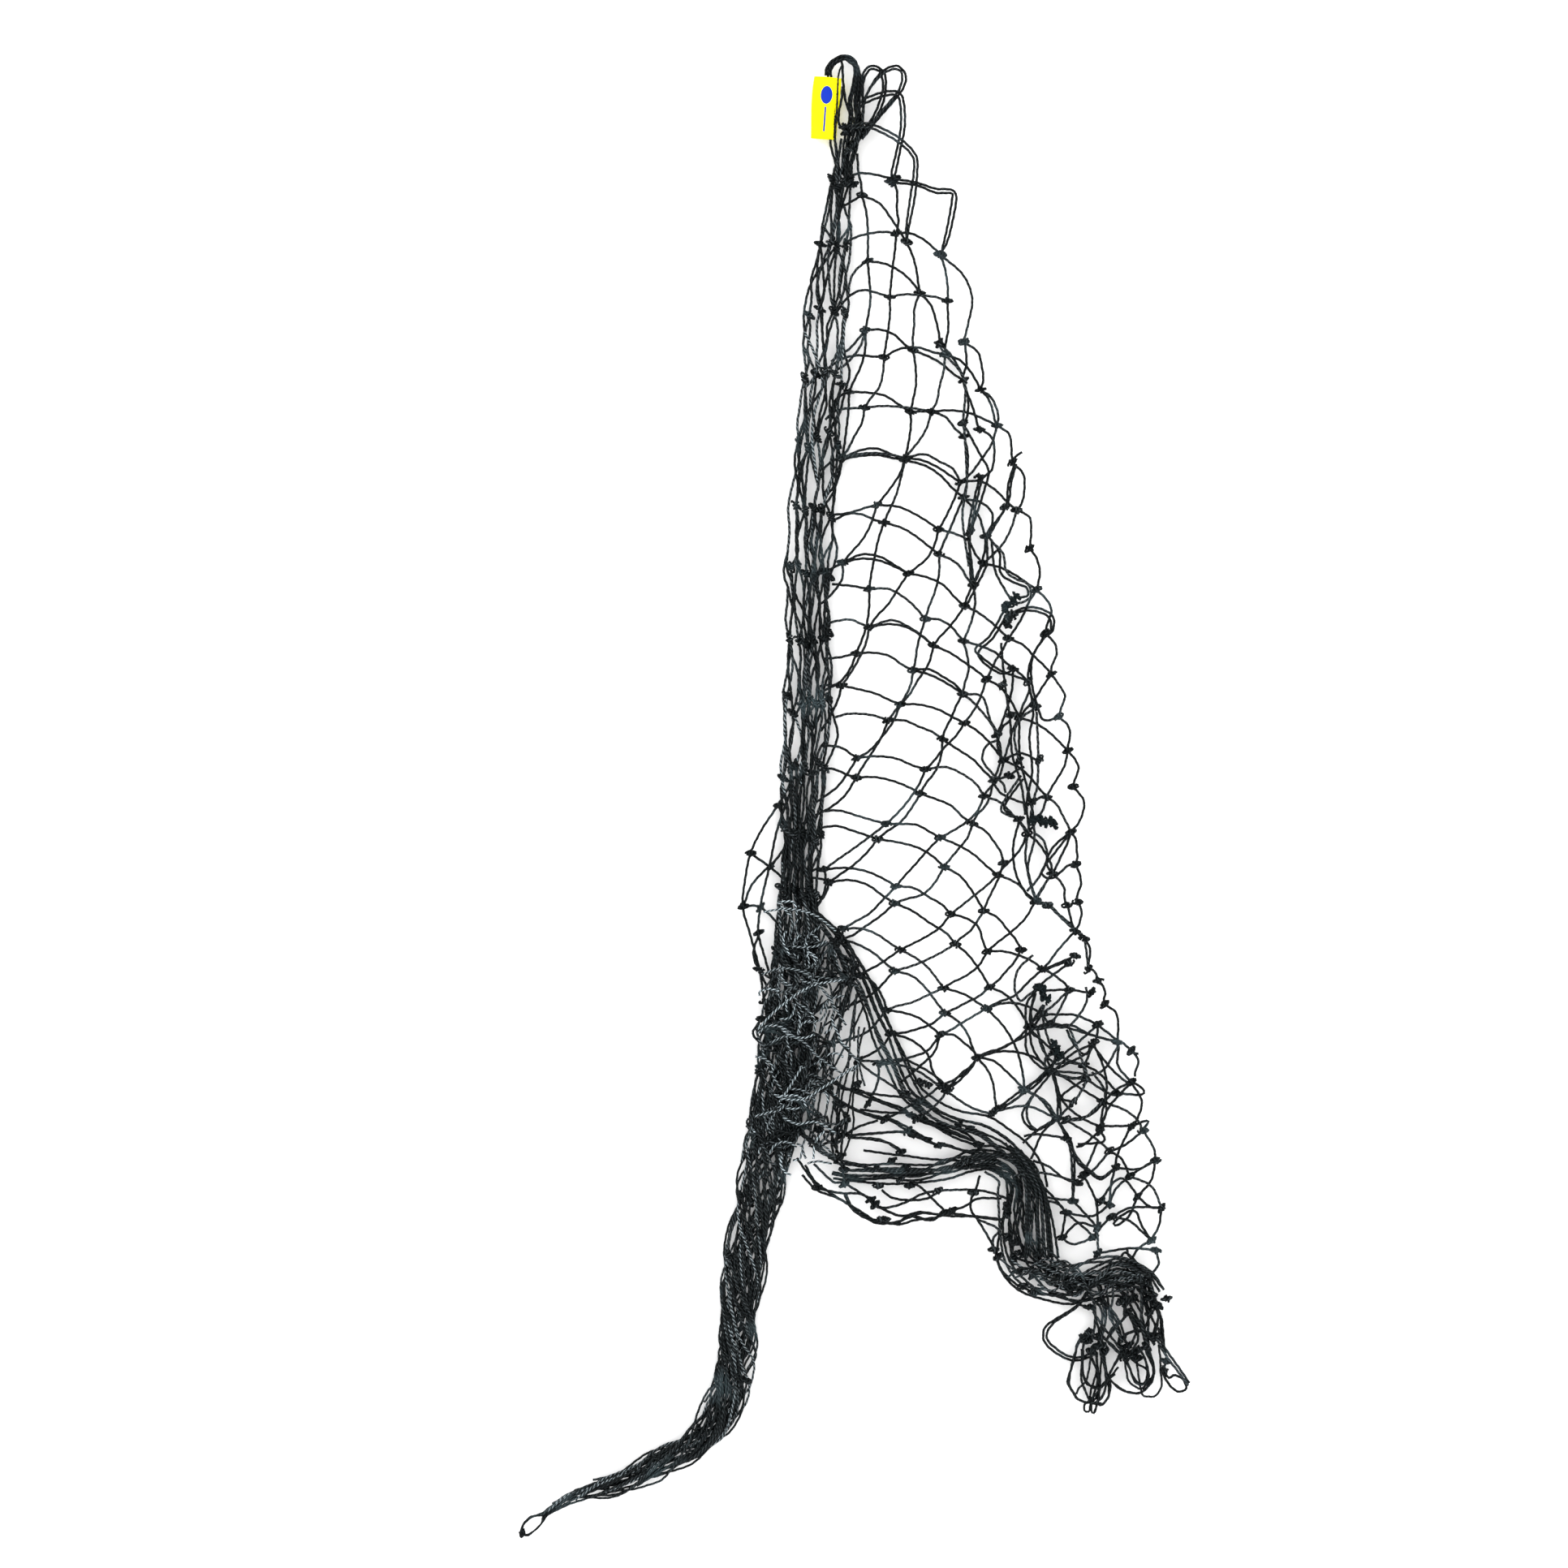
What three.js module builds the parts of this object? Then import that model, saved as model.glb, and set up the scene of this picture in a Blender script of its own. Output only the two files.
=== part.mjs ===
// Hay net, lying flat and spread by hand: a knotted twine bag with its mouth gathered at the top.
// +X is to the right, +Y is towards the mouth loops, +Z is up. The net rests on z = 0.
// Netting and gathers are soft: their solids hold the place and size of the twine work.
import * as THREE from 'three';

// Driving dimensions, in millimetres.
const MESH_BAR = 40; // twine from knot to knot
const BAR = 2; // width and thickness of a netting bar's solid
const LAYER = 2.3; // one layer of netting and the gap above it
const TWINE = 1.5; // diameter of the twine
const DOUBLE_TWINE = 1.2; // radius of a loop of doubled twine
const ROPE_OF_LOOPS = 1.9; // radius of the main loop, which is many strands
const LASHING = 1.8; // radius of a seam lashing
const TUBE_SIDES = 8;
const TUBE_STEP = 5; // tube length from one section to the next
const STATION_GAP = 0.006; // share of a mesh left free at each cut between two gathers
const LABEL = { width: 18, height: 38, thickness: 3.4, wall: 0.7, tilt: -0.07 };

// The gather runs from the neck down the left side to the tip of the tail.
// Each station is x, y, half width, height.
const GATHER = [
  [-2, 404, 5, 8],
  [-5, 392, 5, 8],
  [-7, 376, 6, 9],
  [-11, 338, 8, 9],
  [-15, 298, 12, 9],
  [-17, 258, 11, 9],
  [-21, 217, 12.5, 9],
  [-24, 176, 12, 9],
  [-26, 135, 13, 9],
  [-26, 96, 12.5, 9],
  [-27, 56, 13, 9],
  [-30, 16, 12.5, 9],
  [-31, -24, 11, 10],
  [-33, -60, 10.5, 11],
  [-34, -98, 13, 12],
  [-38, -134, 14, 12],
  [-43, -169, 15, 12],
  [-49, -204, 14, 12],
  [-54, -226, 13.5, 13],
  [-63, -274, 12.5, 13],
  [-69, -309, 11, 12],
  [-72, -339, 11, 12],
  [-75, -364, 10.5, 11],
  [-86, -388, 10, 10],
  [-100, -401, 9, 10],
  [-125, -414, 7.5, 8],
  [-152, -425, 6, 7],
  [-175, -432, 4, 6],
  [-187, -439, 3, 5],
];
const TAIL_PIVOT = 18; // station that the tail swings about
const TIP_PIVOT = 23; // station that the tip of the tail swings about

const INNER_FOLD = [
  [-7, -92, 8, 8],
  [-6, -130, 11, 9],
  [-12, -166, 11, 9],
];
const HEAP = [
  [-26, -84, 15, 5],
  [-24, -120, 22, 7],
  [-28, -160, 20, 7],
  [-36, -196, 15, 6],
];
const SHOULDER = [
  [9, -106, 3, 6],
  [14, -122, 4.5, 7],
  [20, -142, 5, 7],
  [27, -160, 5, 7],
];
const SWAG = [
  [-24, -205, 9, 8],
  [0, -219, 30, 8],
  [25, -220, 42, 8],
  [50, -223, 34, 8],
  [75, -229, 27, 9],
  [94, -240, 20, 10],
  [103, -259, 14, 10],
  [110, -279, 13, 10],
  [128, -291, 12, 10],
  [150, -298, 11, 10],
  [172, -303, 8, 8],
];
const SWAG_TURN = 5; // station where the swag ends and the band to the far corner starts

// Edges of the netting panels, from the mouth down: the gather side, and the scalloped selvedge.
const PANELS = {
  upper: {
    left: [[0, 366], [1, 330], [2, 290], [1, 250], [-3, 212]],
    right: [[26, 376], [54, 330], [66, 281], [79, 250], [92, 218]],
    columns: 2,
  },
  middle: {
    left: [[-4, 209], [-9, 165], [-9, 120], [-10, 56], [-13, 12]],
    right: [[93, 215], [104, 166], [117, 115], [127, 50], [136, 6]],
    columns: 4,
  },
  lower: {
    left: [[-14, 9], [-18, -30], [-16, -70], [10, -82], [21, -112], [30, -146], [58, -184], [101, -203]],
    right: [[136, 3], [138, -64], [143, -104], [156, -127], [170, -156], [177, -185], [187, -222]],
    columns: 5,
  },
  corner: {
    left: [[104, -207], [118, -228], [121, -256], [129, -274]],
    right: [[188, -225], [191, -250], [185, -272], [184, -290]],
    columns: 2,
  },
};
const BULGE = {
  left: [[-47, 2], [-62, -34], [-67, -67], [-61, -95], [-57, -120]],
  right: [[-46, -2], [-45, -34], [-46, -66], [-51, -96], [-55, -122]],
  columns: 1,
};
const SIDE_FOLD = {
  upper: {
    left: [[64, 262], [68, 200], [74, 150], [86, 111], [88, 44]],
    right: [[80, 262], [90, 200], [98, 150], [112, 111], [114, 44]],
    columns: 2,
  },
  lower: {
    left: [[88, 41], [95, -10], [100, -60], [106, -134], [112, -184], [128, -240], [138, -272]],
    right: [[114, 41], [121, -10], [126, -60], [134, -134], [138, -184], [152, -236], [160, -268]],
    columns: 2,
  },
};

// Loops of doubled twine, each at the height of the twine that it lies across. Each point is x, y.
const FLAT_LOOPS = {
  hanging_loop_main: {
    height: 1.9,
    route: [[-16, 446], [-14, 451], [-5, 455], [3, 450], [3, 436], [3, 416]],
  },
  hanging_loop_second: {
    height: 5.2,
    route: [[6.6, 443], [11, 448.5], [19, 445], [20, 434], [16, 420], [11, 413]],
  },
  hanging_loop_third: {
    height: 8,
    route: [[9, 421], [16, 442], [26, 449], [32, 443], [29, 432], [17, 419]],
  },
  end_loop_first: {
    height: 1.3,
    route: [[139, -314], [134, -317], [122, -324], [118, -331], [122, -338], [131, -344], [142, -345]],
  },
  end_loop_second: {
    height: 4.2,
    route: [
      [150, -340], [139, -346], [135, -356], [138, -370],
      [150, -374], [158, -366], [157, -352], [152, -341],
    ],
  },
  end_loop_third: {
    height: 1.3,
    route: [[171, -340], [168, -352], [172, -364], [183, -368], [189, -360], [184, -346], [175, -339]],
  },
  end_loop_fourth: {
    height: 7,
    route: [
      [190, -327], [193, -343], [199, -352], [205.6, -361],
      [200, -365], [192, -355], [189, -343], [187, -330],
    ],
  },
};
// The loops that run from the neck down on to the netting. Each point is x, y, height.
const SLOPING_LOOPS = {
  mouth_loop_short: [[6, 424, 11], [13, 429, 11], [23, 433, 11], [30, 429, 11], [32, 413, 8], [27, 385, 6]],
  mouth_loop_long: [
    [6, 410, 13.8], [14, 411, 13.8], [28, 405, 12], [39, 394, 9],
    [40, 380, 6.2], [37, 355, 6], [34, 343, 6],
  ],
  mouth_loop_square: [
    [28, 380, 9], [40, 378, 9], [52, 375, 6], [62, 373, 1.3],
    [63, 368, 1.3], [60, 350, 1.3], [57, 338, 1.3],
  ],
};

const LASHINGS = {
  seam_lashing_top: [[93, 115], [102, 124]],
  seam_lashing_middle: [[109, -13], [126, -16]],
  seam_lashing_lower: [[113, -116], [120, -126]],
  seam_lashing_bottom: [[122, -152], [128, -160]],
};

const MATERIALS = {
  twine: { color: 0x14201f, roughness: 0.55, metalness: 0 },
  lashing: { color: 0x0d1413, roughness: 0.7, metalness: 0 },
  label: { color: 0xf2e500, roughness: 0.5, metalness: 0 },
  stitching: { color: 0xd9c800, roughness: 0.8, metalness: 0 },
};

const net = new THREE.Group();

function add(name, geometry, finish, height = 0) {
  const mesh = new THREE.Mesh(geometry, new THREE.MeshStandardMaterial(MATERIALS[finish]));
  mesh.name = name;
  mesh.position.z = height;
  net.add(mesh);
  return mesh;
}

function curveThrough(points) {
  return new THREE.CatmullRomCurve3(points.map(([x, y, z = 0]) => new THREE.Vector3(x, y, z)));
}

// A gathered bundle: flat underneath and domed on top, from one station of its route to another.
// A round start or end is a half circle in plan, centred on that station.
function bundle(stations, options = {}) {
  const { from = 0, to = stations.length - 1, roundStart = false, roundEnd = false } = options;
  const centre = curveThrough(stations.map(([x, y]) => [x, y]));
  const size = curveThrough(stations.map(([, , half, tall]) => [half, tall]));
  const last = stations.length - 1;
  const first = from + (roundStart ? 0 : STATION_GAP);
  const final = to - (roundEnd ? 0 : STATION_GAP);
  const steps = Math.max(2, Math.round((final - first) * 1.5));
  const sections = [];
  const section = (station, forward, share) => {
    const along = centre.getTangent(station / last);
    const middle = centre.getPoint(station / last).addScaledVector(along, forward);
    const { x: half, y: tall } = size.getPoint(station / last);
    const across = new THREE.Vector3(-along.y, along.x, 0);
    sections.push({ middle, across, half: half * share, tall: tall * share });
  };
  const roundOff = (station, way, order) => {
    const radius = size.getPoint(station / last).x;
    order.forEach((turn) => section(station, way * radius * Math.sin(turn), Math.cos(turn)));
  };
  const turns = [0.4, 0.8, 1.15, 1.4]; // angles in the quarter circle that rounds an end off
  if (roundStart) roundOff(first, -1, [...turns].reverse());
  for (let step = 0; step <= steps; step += 1) section(first + ((final - first) * step) / steps, 0, 1);
  if (roundEnd) roundOff(final, 1, turns);
  return loft(sections);
}

// A closed skin over the sections of a bundle.
function loft(sections) {
  const arc = 6;
  const ring = arc + 1;
  const positions = [];
  sections.forEach(({ middle, across, half, tall }) => {
    for (let k = 0; k <= arc; k += 1) {
      const angle = (Math.PI * k) / arc;
      const point = middle.clone().addScaledVector(across, half * Math.cos(angle));
      positions.push(point.x, point.y, tall * Math.sin(angle));
    }
  });
  const faces = [];
  for (let s = 0; s + 1 < sections.length; s += 1) {
    for (let k = 0; k < ring; k += 1) {
      const a = s * ring + k;
      const b = s * ring + ((k + 1) % ring);
      faces.push(a, b, b + ring, a, b + ring, a + ring);
    }
  }
  const end = (sections.length - 1) * ring;
  for (let k = 1; k + 1 < ring; k += 1) {
    faces.push(0, k + 1, k);
    faces.push(end, end + k, end + k + 1);
  }
  const geometry = new THREE.BufferGeometry();
  geometry.setAttribute('position', new THREE.Float32BufferAttribute(positions, 3));
  geometry.setIndex(faces);
  geometry.computeVertexNormals();
  return geometry;
}

const SQUARE = [[0, 0], [1, 0], [1, 1], [0, 1]];

// A flat layer of square meshes between two edges, with a knot every MESH_BAR down its left edge.
function netting({ left, right, columns }) {
  const leftEdge = curveThrough(left);
  const rightEdge = curveThrough(right);
  const rows = Math.max(2, Math.round(rightEdge.getLength() / MESH_BAR));
  const knot = (row, column) =>
    leftEdge.getPointAt(row / rows).lerp(rightEdge.getPointAt(row / rows), column / columns);
  const towards = (point, target, distance) =>
    point.clone().add(target.clone().sub(point).setLength(distance));
  const rim = (row, column) => {
    const inside = knot(
      THREE.MathUtils.clamp(row, 0.5, rows - 0.5),
      THREE.MathUtils.clamp(column, 0.5, columns - 0.5),
    );
    return towards(knot(row, column), inside, -BAR / 2);
  };
  const outline = [];
  for (let column = 0; column < columns; column += 1) outline.push(rim(0, column));
  for (let row = 0; row < rows; row += 1) outline.push(rim(row, columns));
  for (let column = columns; column > 0; column -= 1) outline.push(rim(rows, column));
  for (let row = rows; row > 0; row -= 1) outline.push(rim(row, 0));
  const shape = new THREE.Shape(outline.map(({ x, y }) => new THREE.Vector2(x, y)));
  for (let row = 0; row < rows; row += 1) {
    for (let column = 0; column < columns; column += 1) {
      const corners = SQUARE.map(([down, over]) => knot(row + down, column + over));
      const middle = knot(row + 0.5, column + 0.5);
      const hole = corners.map((corner) => towards(corner, middle, BAR * 0.75));
      shape.holes.push(new THREE.Path(hole.map(({ x, y }) => new THREE.Vector2(x, y))));
    }
  }
  return new THREE.ExtrudeGeometry(shape, { depth: BAR, bevelEnabled: false });
}

// A round tube along a curve, with flat ends.
function tube(points, radius) {
  const path = curveThrough(points);
  const section = new THREE.Shape();
  for (let side = 0; side < TUBE_SIDES; side += 1) {
    const angle = (2 * Math.PI * side) / TUBE_SIDES;
    section[side ? 'lineTo' : 'moveTo'](radius * Math.cos(angle), radius * Math.sin(angle));
  }
  const steps = Math.max(2, Math.round(path.getLength() / TUBE_STEP));
  return new THREE.ExtrudeGeometry(section, { steps, extrudePath: path });
}

// A flattened sleeve of coated cloth, open at both ends, round two strands of the main loop.
function sleeve({ width, height, thickness, wall }) {
  const flatLoop = (Kind, halfWidth, halfThickness) => {
    const path = new Kind();
    path.absarc(halfWidth - halfThickness, 0, halfThickness, -Math.PI / 2, Math.PI / 2);
    path.absarc(halfThickness - halfWidth, 0, halfThickness, Math.PI / 2, (3 * Math.PI) / 2);
    return path;
  };
  const section = flatLoop(THREE.Shape, width / 2, thickness / 2);
  section.holes.push(flatLoop(THREE.Path, width / 2 - wall, thickness / 2 - wall));
  const settings = { depth: height, curveSegments: 3, bevelEnabled: false };
  const geometry = new THREE.ExtrudeGeometry(section, settings);
  geometry.rotateX(Math.PI / 2);
  geometry.translate(0, height / 2, thickness / 2);
  return geometry;
}

// The small eye in which the tail ends.
function eye(length, width, wall, thickness) {
  const shape = new THREE.Shape();
  shape.absellipse(0, 0, length / 2, width / 2, 0, 2 * Math.PI);
  const hole = new THREE.Path();
  hole.absellipse(0, 0, length / 2 - wall, width / 2 - wall, 0, 2 * Math.PI);
  shape.holes.push(hole);
  return new THREE.ExtrudeGeometry(shape, { depth: thickness, curveSegments: 8, bevelEnabled: false });
}

const lastStation = GATHER.length - 1;
add('neck_binding', bundle(GATHER, { to: 2, roundStart: true }), 'twine');
add('side_gather_upper', bundle(GATHER, { from: 2, to: 7 }), 'twine');
add('side_gather_middle', bundle(GATHER, { from: 7, to: 12 }), 'twine');
add('side_gather_lower', bundle(GATHER, { from: 12, to: TAIL_PIVOT - 0.75 }), 'twine');
add('tail_upper', bundle(GATHER, { from: TAIL_PIVOT, to: TIP_PIVOT - 0.5, roundStart: true }), 'twine');
add('tail_lower', bundle(GATHER, { from: TIP_PIVOT, to: lastStation, roundStart: true }), 'twine');
const tailEye = add('tail_eye', eye(20, 12, 2.5, 3), 'twine');
tailEye.position.set(-198.2, -448.8, 0);
tailEye.rotation.z = Math.PI / 4;

add('tangle_heap', bundle(HEAP, { roundStart: true, roundEnd: true }), 'twine', 12.6);
add('inner_fold', bundle(INNER_FOLD, { roundStart: true, roundEnd: true }), 'twine');
add('swag_shoulder', bundle(SHOULDER, { roundStart: true, roundEnd: true }), 'twine');
add('swag', bundle(SWAG, { to: SWAG_TURN, roundStart: true }), 'twine');
add('corner_gather', bundle(SWAG, { from: SWAG_TURN, roundEnd: true }), 'twine');

for (const [place, edges] of Object.entries(PANELS)) {
  add(`back_netting_${place}`, netting(edges), 'twine');
  add(`front_netting_${place}`, netting(edges), 'twine', LAYER);
}
add('side_bulge', netting(BULGE), 'twine');
for (const [place, edges] of Object.entries(SIDE_FOLD)) {
  add(`side_fold_${place}`, netting(edges), 'twine', 2 * LAYER);
}

for (const [name, { height, route }] of Object.entries(FLAT_LOOPS)) {
  add(name, tube(route, name === 'hanging_loop_main' ? ROPE_OF_LOOPS : DOUBLE_TWINE), 'twine', height);
}
for (const [name, route] of Object.entries(SLOPING_LOOPS)) {
  add(name, tube(route, DOUBLE_TWINE), 'twine');
}
for (const [name, ends] of Object.entries(LASHINGS)) {
  add(name, tube(ends, LASHING), 'lashing', 3 * LAYER + LASHING + 0.1);
}

const labelPlace = new THREE.Group();
labelPlace.position.set(-16, 424, 0);
labelPlace.rotation.z = LABEL.tilt;
const label = add('label', sleeve(LABEL), 'label');
const stitching = add('label_stitching', new THREE.BoxGeometry(0.8, LABEL.height - 3, 0.5), 'stitching');
stitching.position.set(LABEL.width / 2 - 2.5, 0, LABEL.thickness + 0.55);
const middle = LABEL.thickness / 2;
const inLabel = tube([[0, 20, middle], [0, 0, middle], [1, -21, middle]], TWINE / 2);
const strand = add('label_strand', inLabel, 'twine');
labelPlace.add(label, stitching, strand);
net.add(labelPlace);

export default net;
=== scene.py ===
"""Hay net of knotted twine, lying flat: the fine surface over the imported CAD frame.

Places are in millimetres in the frame's own axes (+X right, +Y towards the mouth, +Z up) and
become metres when a mesh is made. Every strand of twine is a three-ply tube in mesh form.
"""

import math

import bpy
import numpy as np
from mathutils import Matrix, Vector


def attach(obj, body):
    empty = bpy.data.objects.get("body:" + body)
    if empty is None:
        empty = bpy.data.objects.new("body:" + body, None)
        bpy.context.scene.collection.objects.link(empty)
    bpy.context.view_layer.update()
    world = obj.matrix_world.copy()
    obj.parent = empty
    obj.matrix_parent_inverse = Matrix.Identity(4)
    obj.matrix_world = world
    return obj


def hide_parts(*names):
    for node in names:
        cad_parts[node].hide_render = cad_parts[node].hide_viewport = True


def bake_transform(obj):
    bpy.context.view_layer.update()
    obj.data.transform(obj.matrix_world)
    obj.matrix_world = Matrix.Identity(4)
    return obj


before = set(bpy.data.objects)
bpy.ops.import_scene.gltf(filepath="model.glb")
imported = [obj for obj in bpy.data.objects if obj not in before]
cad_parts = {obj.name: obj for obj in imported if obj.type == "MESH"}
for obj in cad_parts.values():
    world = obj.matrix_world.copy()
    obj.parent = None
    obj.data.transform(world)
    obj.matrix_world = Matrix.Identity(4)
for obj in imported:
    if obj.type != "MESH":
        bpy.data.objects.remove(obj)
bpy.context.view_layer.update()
rng = np.random.default_rng(7)

MM = 0.001
TWINE = 1.68  # diameter of the twine, a little over the CAD's 1.5 so that its lines look dark enough
TAIL_TWINE = 1.45  # the same twine in the tail and two end loops, thinner to tune their density
HEAP_TWINE = 1.4  # the same twine in the free strands of the heap and the swag
SIDES = 6  # corners of a strand's section: three plies and the grooves between them
STEP = 1.6  # length of twine from one ring of corners to the next
KNOT_STEP = 1.2
MATTNESS = 0.08  # specular level of all the materials
FLOOR_DROP = 5 * MM  # gap under the net, which softens the shadows of its strands
FLOOR_HALF = 4

# ---------------------------------------------------------------- camera, floor and light

camera = bpy.data.objects.new("camera", bpy.data.cameras.new("camera"))
bpy.context.collection.objects.link(camera)
camera.data.lens = 85
camera.data.sensor_width = 36
camera.data.clip_end = 10
camera.location = (-0.042, 0.008, 2.281)
bpy.context.scene.camera = camera


def area_light(name, place, size, power):
    """A round soft lamp that faces the middle of the net."""
    light = bpy.data.lights.new(name, "AREA")
    light.shape = "DISK"
    light.size = size
    light.energy = power
    lamp = bpy.data.objects.new(name, light)
    bpy.context.collection.objects.link(lamp)
    lamp.location = place
    lamp.rotation_euler = (-Vector(place)).to_track_quat("-Z", "Y").to_euler()
    return lamp


area_light("key", (-0.9, 1.1, 1.9), 1.2, 10)
area_light("fill", (1.4, -0.6, 1.6), 1.6, 6)
area_light("top", (0.1, 0.1, 2.6), 2.0, 9)

world = bpy.data.worlds.new("studio")
bpy.context.scene.world = world
world.use_nodes = True
world.node_tree.nodes["Background"].inputs["Color"].default_value = (1, 1, 1, 1)
world.node_tree.nodes["Background"].inputs["Strength"].default_value = 1.5
bpy.context.scene.view_settings.view_transform = "Standard"

# ---------------------------------------------------------------- materials


class Shader:
    """A node material under construction, with short ways to add nodes to it."""

    def __init__(self, name, roughness):
        self.material = bpy.data.materials.new(name)
        self.material.use_nodes = True
        self.tree = self.material.node_tree
        self.surface = self.tree.nodes["Principled BSDF"]
        self.surface.inputs["Roughness"].default_value = roughness
        self.surface.inputs["Specular IOR Level"].default_value = MATTNESS

    def node(self, kind, inputs=None, **settings):
        node = self.tree.nodes.new(kind)
        for key, value in settings.items():
            setattr(node, key, value)
        for key, value in (inputs or {}).items():
            if isinstance(value, bpy.types.NodeSocket):
                self.tree.links.new(value, node.inputs[key])
            else:
                node.inputs[key].default_value = value
        return node

    def ramp(self, factor, *stops):
        node = self.node("ShaderNodeValToRGB", {"Fac": factor})
        elements = node.color_ramp.elements
        while len(elements) < len(stops):
            elements.new(0.5)
        for element, (position, colour) in zip(elements, stops):
            element.position = position
            element.color = (*colour, 1)
        return node.outputs["Color"]

    def mix(self, factor, first, second, blend="MIX"):
        node = self.node("ShaderNodeMix", data_type="RGBA", blend_type=blend)
        for socket, value in ((node.inputs[0], factor), (node.inputs[6], first), (node.inputs[7], second)):
            if isinstance(value, bpy.types.NodeSocket):
                self.tree.links.new(value, socket)
            else:
                socket.default_value = value
        return node.outputs[2]

    def colour(self, socket):
        self.tree.links.new(socket, self.surface.inputs["Base Color"])

    def roughness(self, socket):
        self.tree.links.new(socket, self.surface.inputs["Roughness"])

    def bump(self, height, strength, distance):
        node = self.node("ShaderNodeBump", {"Height": height, "Strength": strength, "Distance": distance})
        self.tree.links.new(node.outputs["Normal"], self.surface.inputs["Normal"])


def twine_material(name, dark, light, fleck, ridge_highlight, roughness):
    """Laid twine: plies that wind round it, fine filaments along them, uneven wear and paler strands, with
    painted shade in the grooves between the plies and a painted highlight on their ridges.
    """
    shader = Shader(name, roughness)
    uv = shader.node("ShaderNodeUVMap", uv_map="lay").outputs["UV"]
    place = shader.node("ShaderNodeTexCoord").outputs["Object"]
    plies = shader.node(
        "ShaderNodeTexWave", {"Vector": uv, "Scale": 0.285, "Distortion": 0.5, "Detail": 1.0},
        wave_type="BANDS", bands_direction="DIAGONAL",
    ).outputs["Fac"]
    filaments = shader.node(
        "ShaderNodeTexNoise", {"Vector": uv, "Scale": 2.5, "Detail": 3.0, "Roughness": 0.6}
    ).outputs["Fac"]
    wear = shader.node(
        "ShaderNodeTexNoise", {"Vector": place, "Scale": 45.0, "Detail": 2.0, "Roughness": 0.5}
    ).outputs["Fac"]
    # per-strand value: how much paler the strand is painted and how strong its painted highlight is
    strand = shader.node("ShaderNodeAttribute", attribute_name="strand").outputs["Fac"]
    body = shader.ramp(filaments, (0.3, dark), (0.72, light))
    worn = shader.ramp(wear, (0.55, (0, 0, 0)), (0.72, (1, 1, 1)))
    pale = shader.mix(worn, body, (*fleck, 1))
    # painted shade: the grooves between the plies are darkened to 0.45 of the twine's colour
    groove_shade = shader.ramp(plies, (0.15, (0.45, 0.45, 0.45)), (0.6, (1, 1, 1)))
    groove_shaded = shader.mix(0.75, pale, groove_shade, "MULTIPLY")
    # painted highlight: a pale glint along the ridges of the plies, stronger on strands with a higher strand
    # value
    glint = shader.ramp(plies, (0.55, (0, 0, 0)), (0.9, (1, 1, 1)))
    share = shader.node("ShaderNodeMath", {0: strand, 1: 0.8, 2: 0.02}, operation="MULTIPLY_ADD").outputs[0]
    lit = shader.node("ShaderNodeMath", {0: share, 1: glint}, operation="MULTIPLY").outputs[0]
    base = shader.node("ShaderNodeMath", {0: strand, 1: 0.3}, operation="MULTIPLY").outputs[0]
    paled = shader.mix(base, groove_shaded, (*fleck, 1))
    shader.colour(shader.mix(lit, paled, (*ridge_highlight, 1)))
    shader.roughness(shader.ramp(filaments, (0.25, (roughness - 0.12,) * 3), (0.8, (roughness + 0.15,) * 3)))
    shader.bump(plies, 0.5, 0.0002)
    return shader.material


DARK = (0.0002, 0.0006, 0.0007)
SLATE = (0.0015, 0.004, 0.0045)
PALE = (0.03, 0.045, 0.05)
# colour of the painted highlight on the ply ridges
RIDGE_HIGHLIGHT = (0.52, 0.6, 0.64)
TWINE_MATERIAL = twine_material("twine", DARK, SLATE, PALE, RIDGE_HIGHLIGHT, 0.52)
DOUBLED_MATERIAL = twine_material("doubled_twine", DARK, SLATE, (0.035, 0.05, 0.058), RIDGE_HIGHLIGHT, 0.5)
# the fourth colour is a weaker painted highlight on the lashing's ply ridges
LASHING_MATERIAL = twine_material(
    "lashing", (0.002, 0.004, 0.004), (0.008, 0.015, 0.017), (0.02, 0.03, 0.034), (0.1, 0.12, 0.13), 0.7
)


def label_material():
    """Coated yellow cloth with a fine weave and, in print, a plain blue oval above a thin line."""
    shader = Shader("label", 0.42)
    uv = shader.node("ShaderNodeUVMap", uv_map="lay").outputs["UV"]
    split = shader.node("ShaderNodeSeparateXYZ", {"Vector": uv})
    weave = shader.node("ShaderNodeTexWave", {"Vector": uv, "Scale": 40.0, "Distortion": 1.5}).outputs["Fac"]
    stain = shader.node("ShaderNodeTexNoise", {"Vector": uv, "Scale": 5.0, "Detail": 4.0}).outputs["Fac"]
    yellow = shader.ramp(stain, (0.3, (0.86, 0.76, 0.0)), (0.62, (1.0, 0.93, 0.002)))

    def maths(operation, first, second):
        return shader.node("ShaderNodeMath", {0: first, 1: second}, operation=operation).outputs[0]

    def between(socket, low, high):
        return maths("MULTIPLY", maths("GREATER_THAN", socket, low), maths("LESS_THAN", socket, high))

    def squared_from(socket, middle):
        return maths("POWER", maths("SUBTRACT", socket, middle), 2.0)

    along, across = split.outputs["Y"], split.outputs["X"]
    line = maths("MULTIPLY", between(along, 0.12, 0.52), between(across, 0.44, 0.5))
    narrow = maths("MULTIPLY", squared_from(across, 0.48), 0.5)
    far = maths("ADD", squared_from(along, 0.71), narrow)
    mask = maths("MAXIMUM", maths("LESS_THAN", far, 0.021), line)
    shader.colour(shader.mix(mask, yellow, (0.005, 0.03, 0.4, 1)))
    shader.roughness(shader.ramp(stain, (0.2, (0.36,) * 3), (0.8, (0.52,) * 3)))
    shader.bump(weave, 0.15, 0.00005)
    return shader.material


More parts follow.
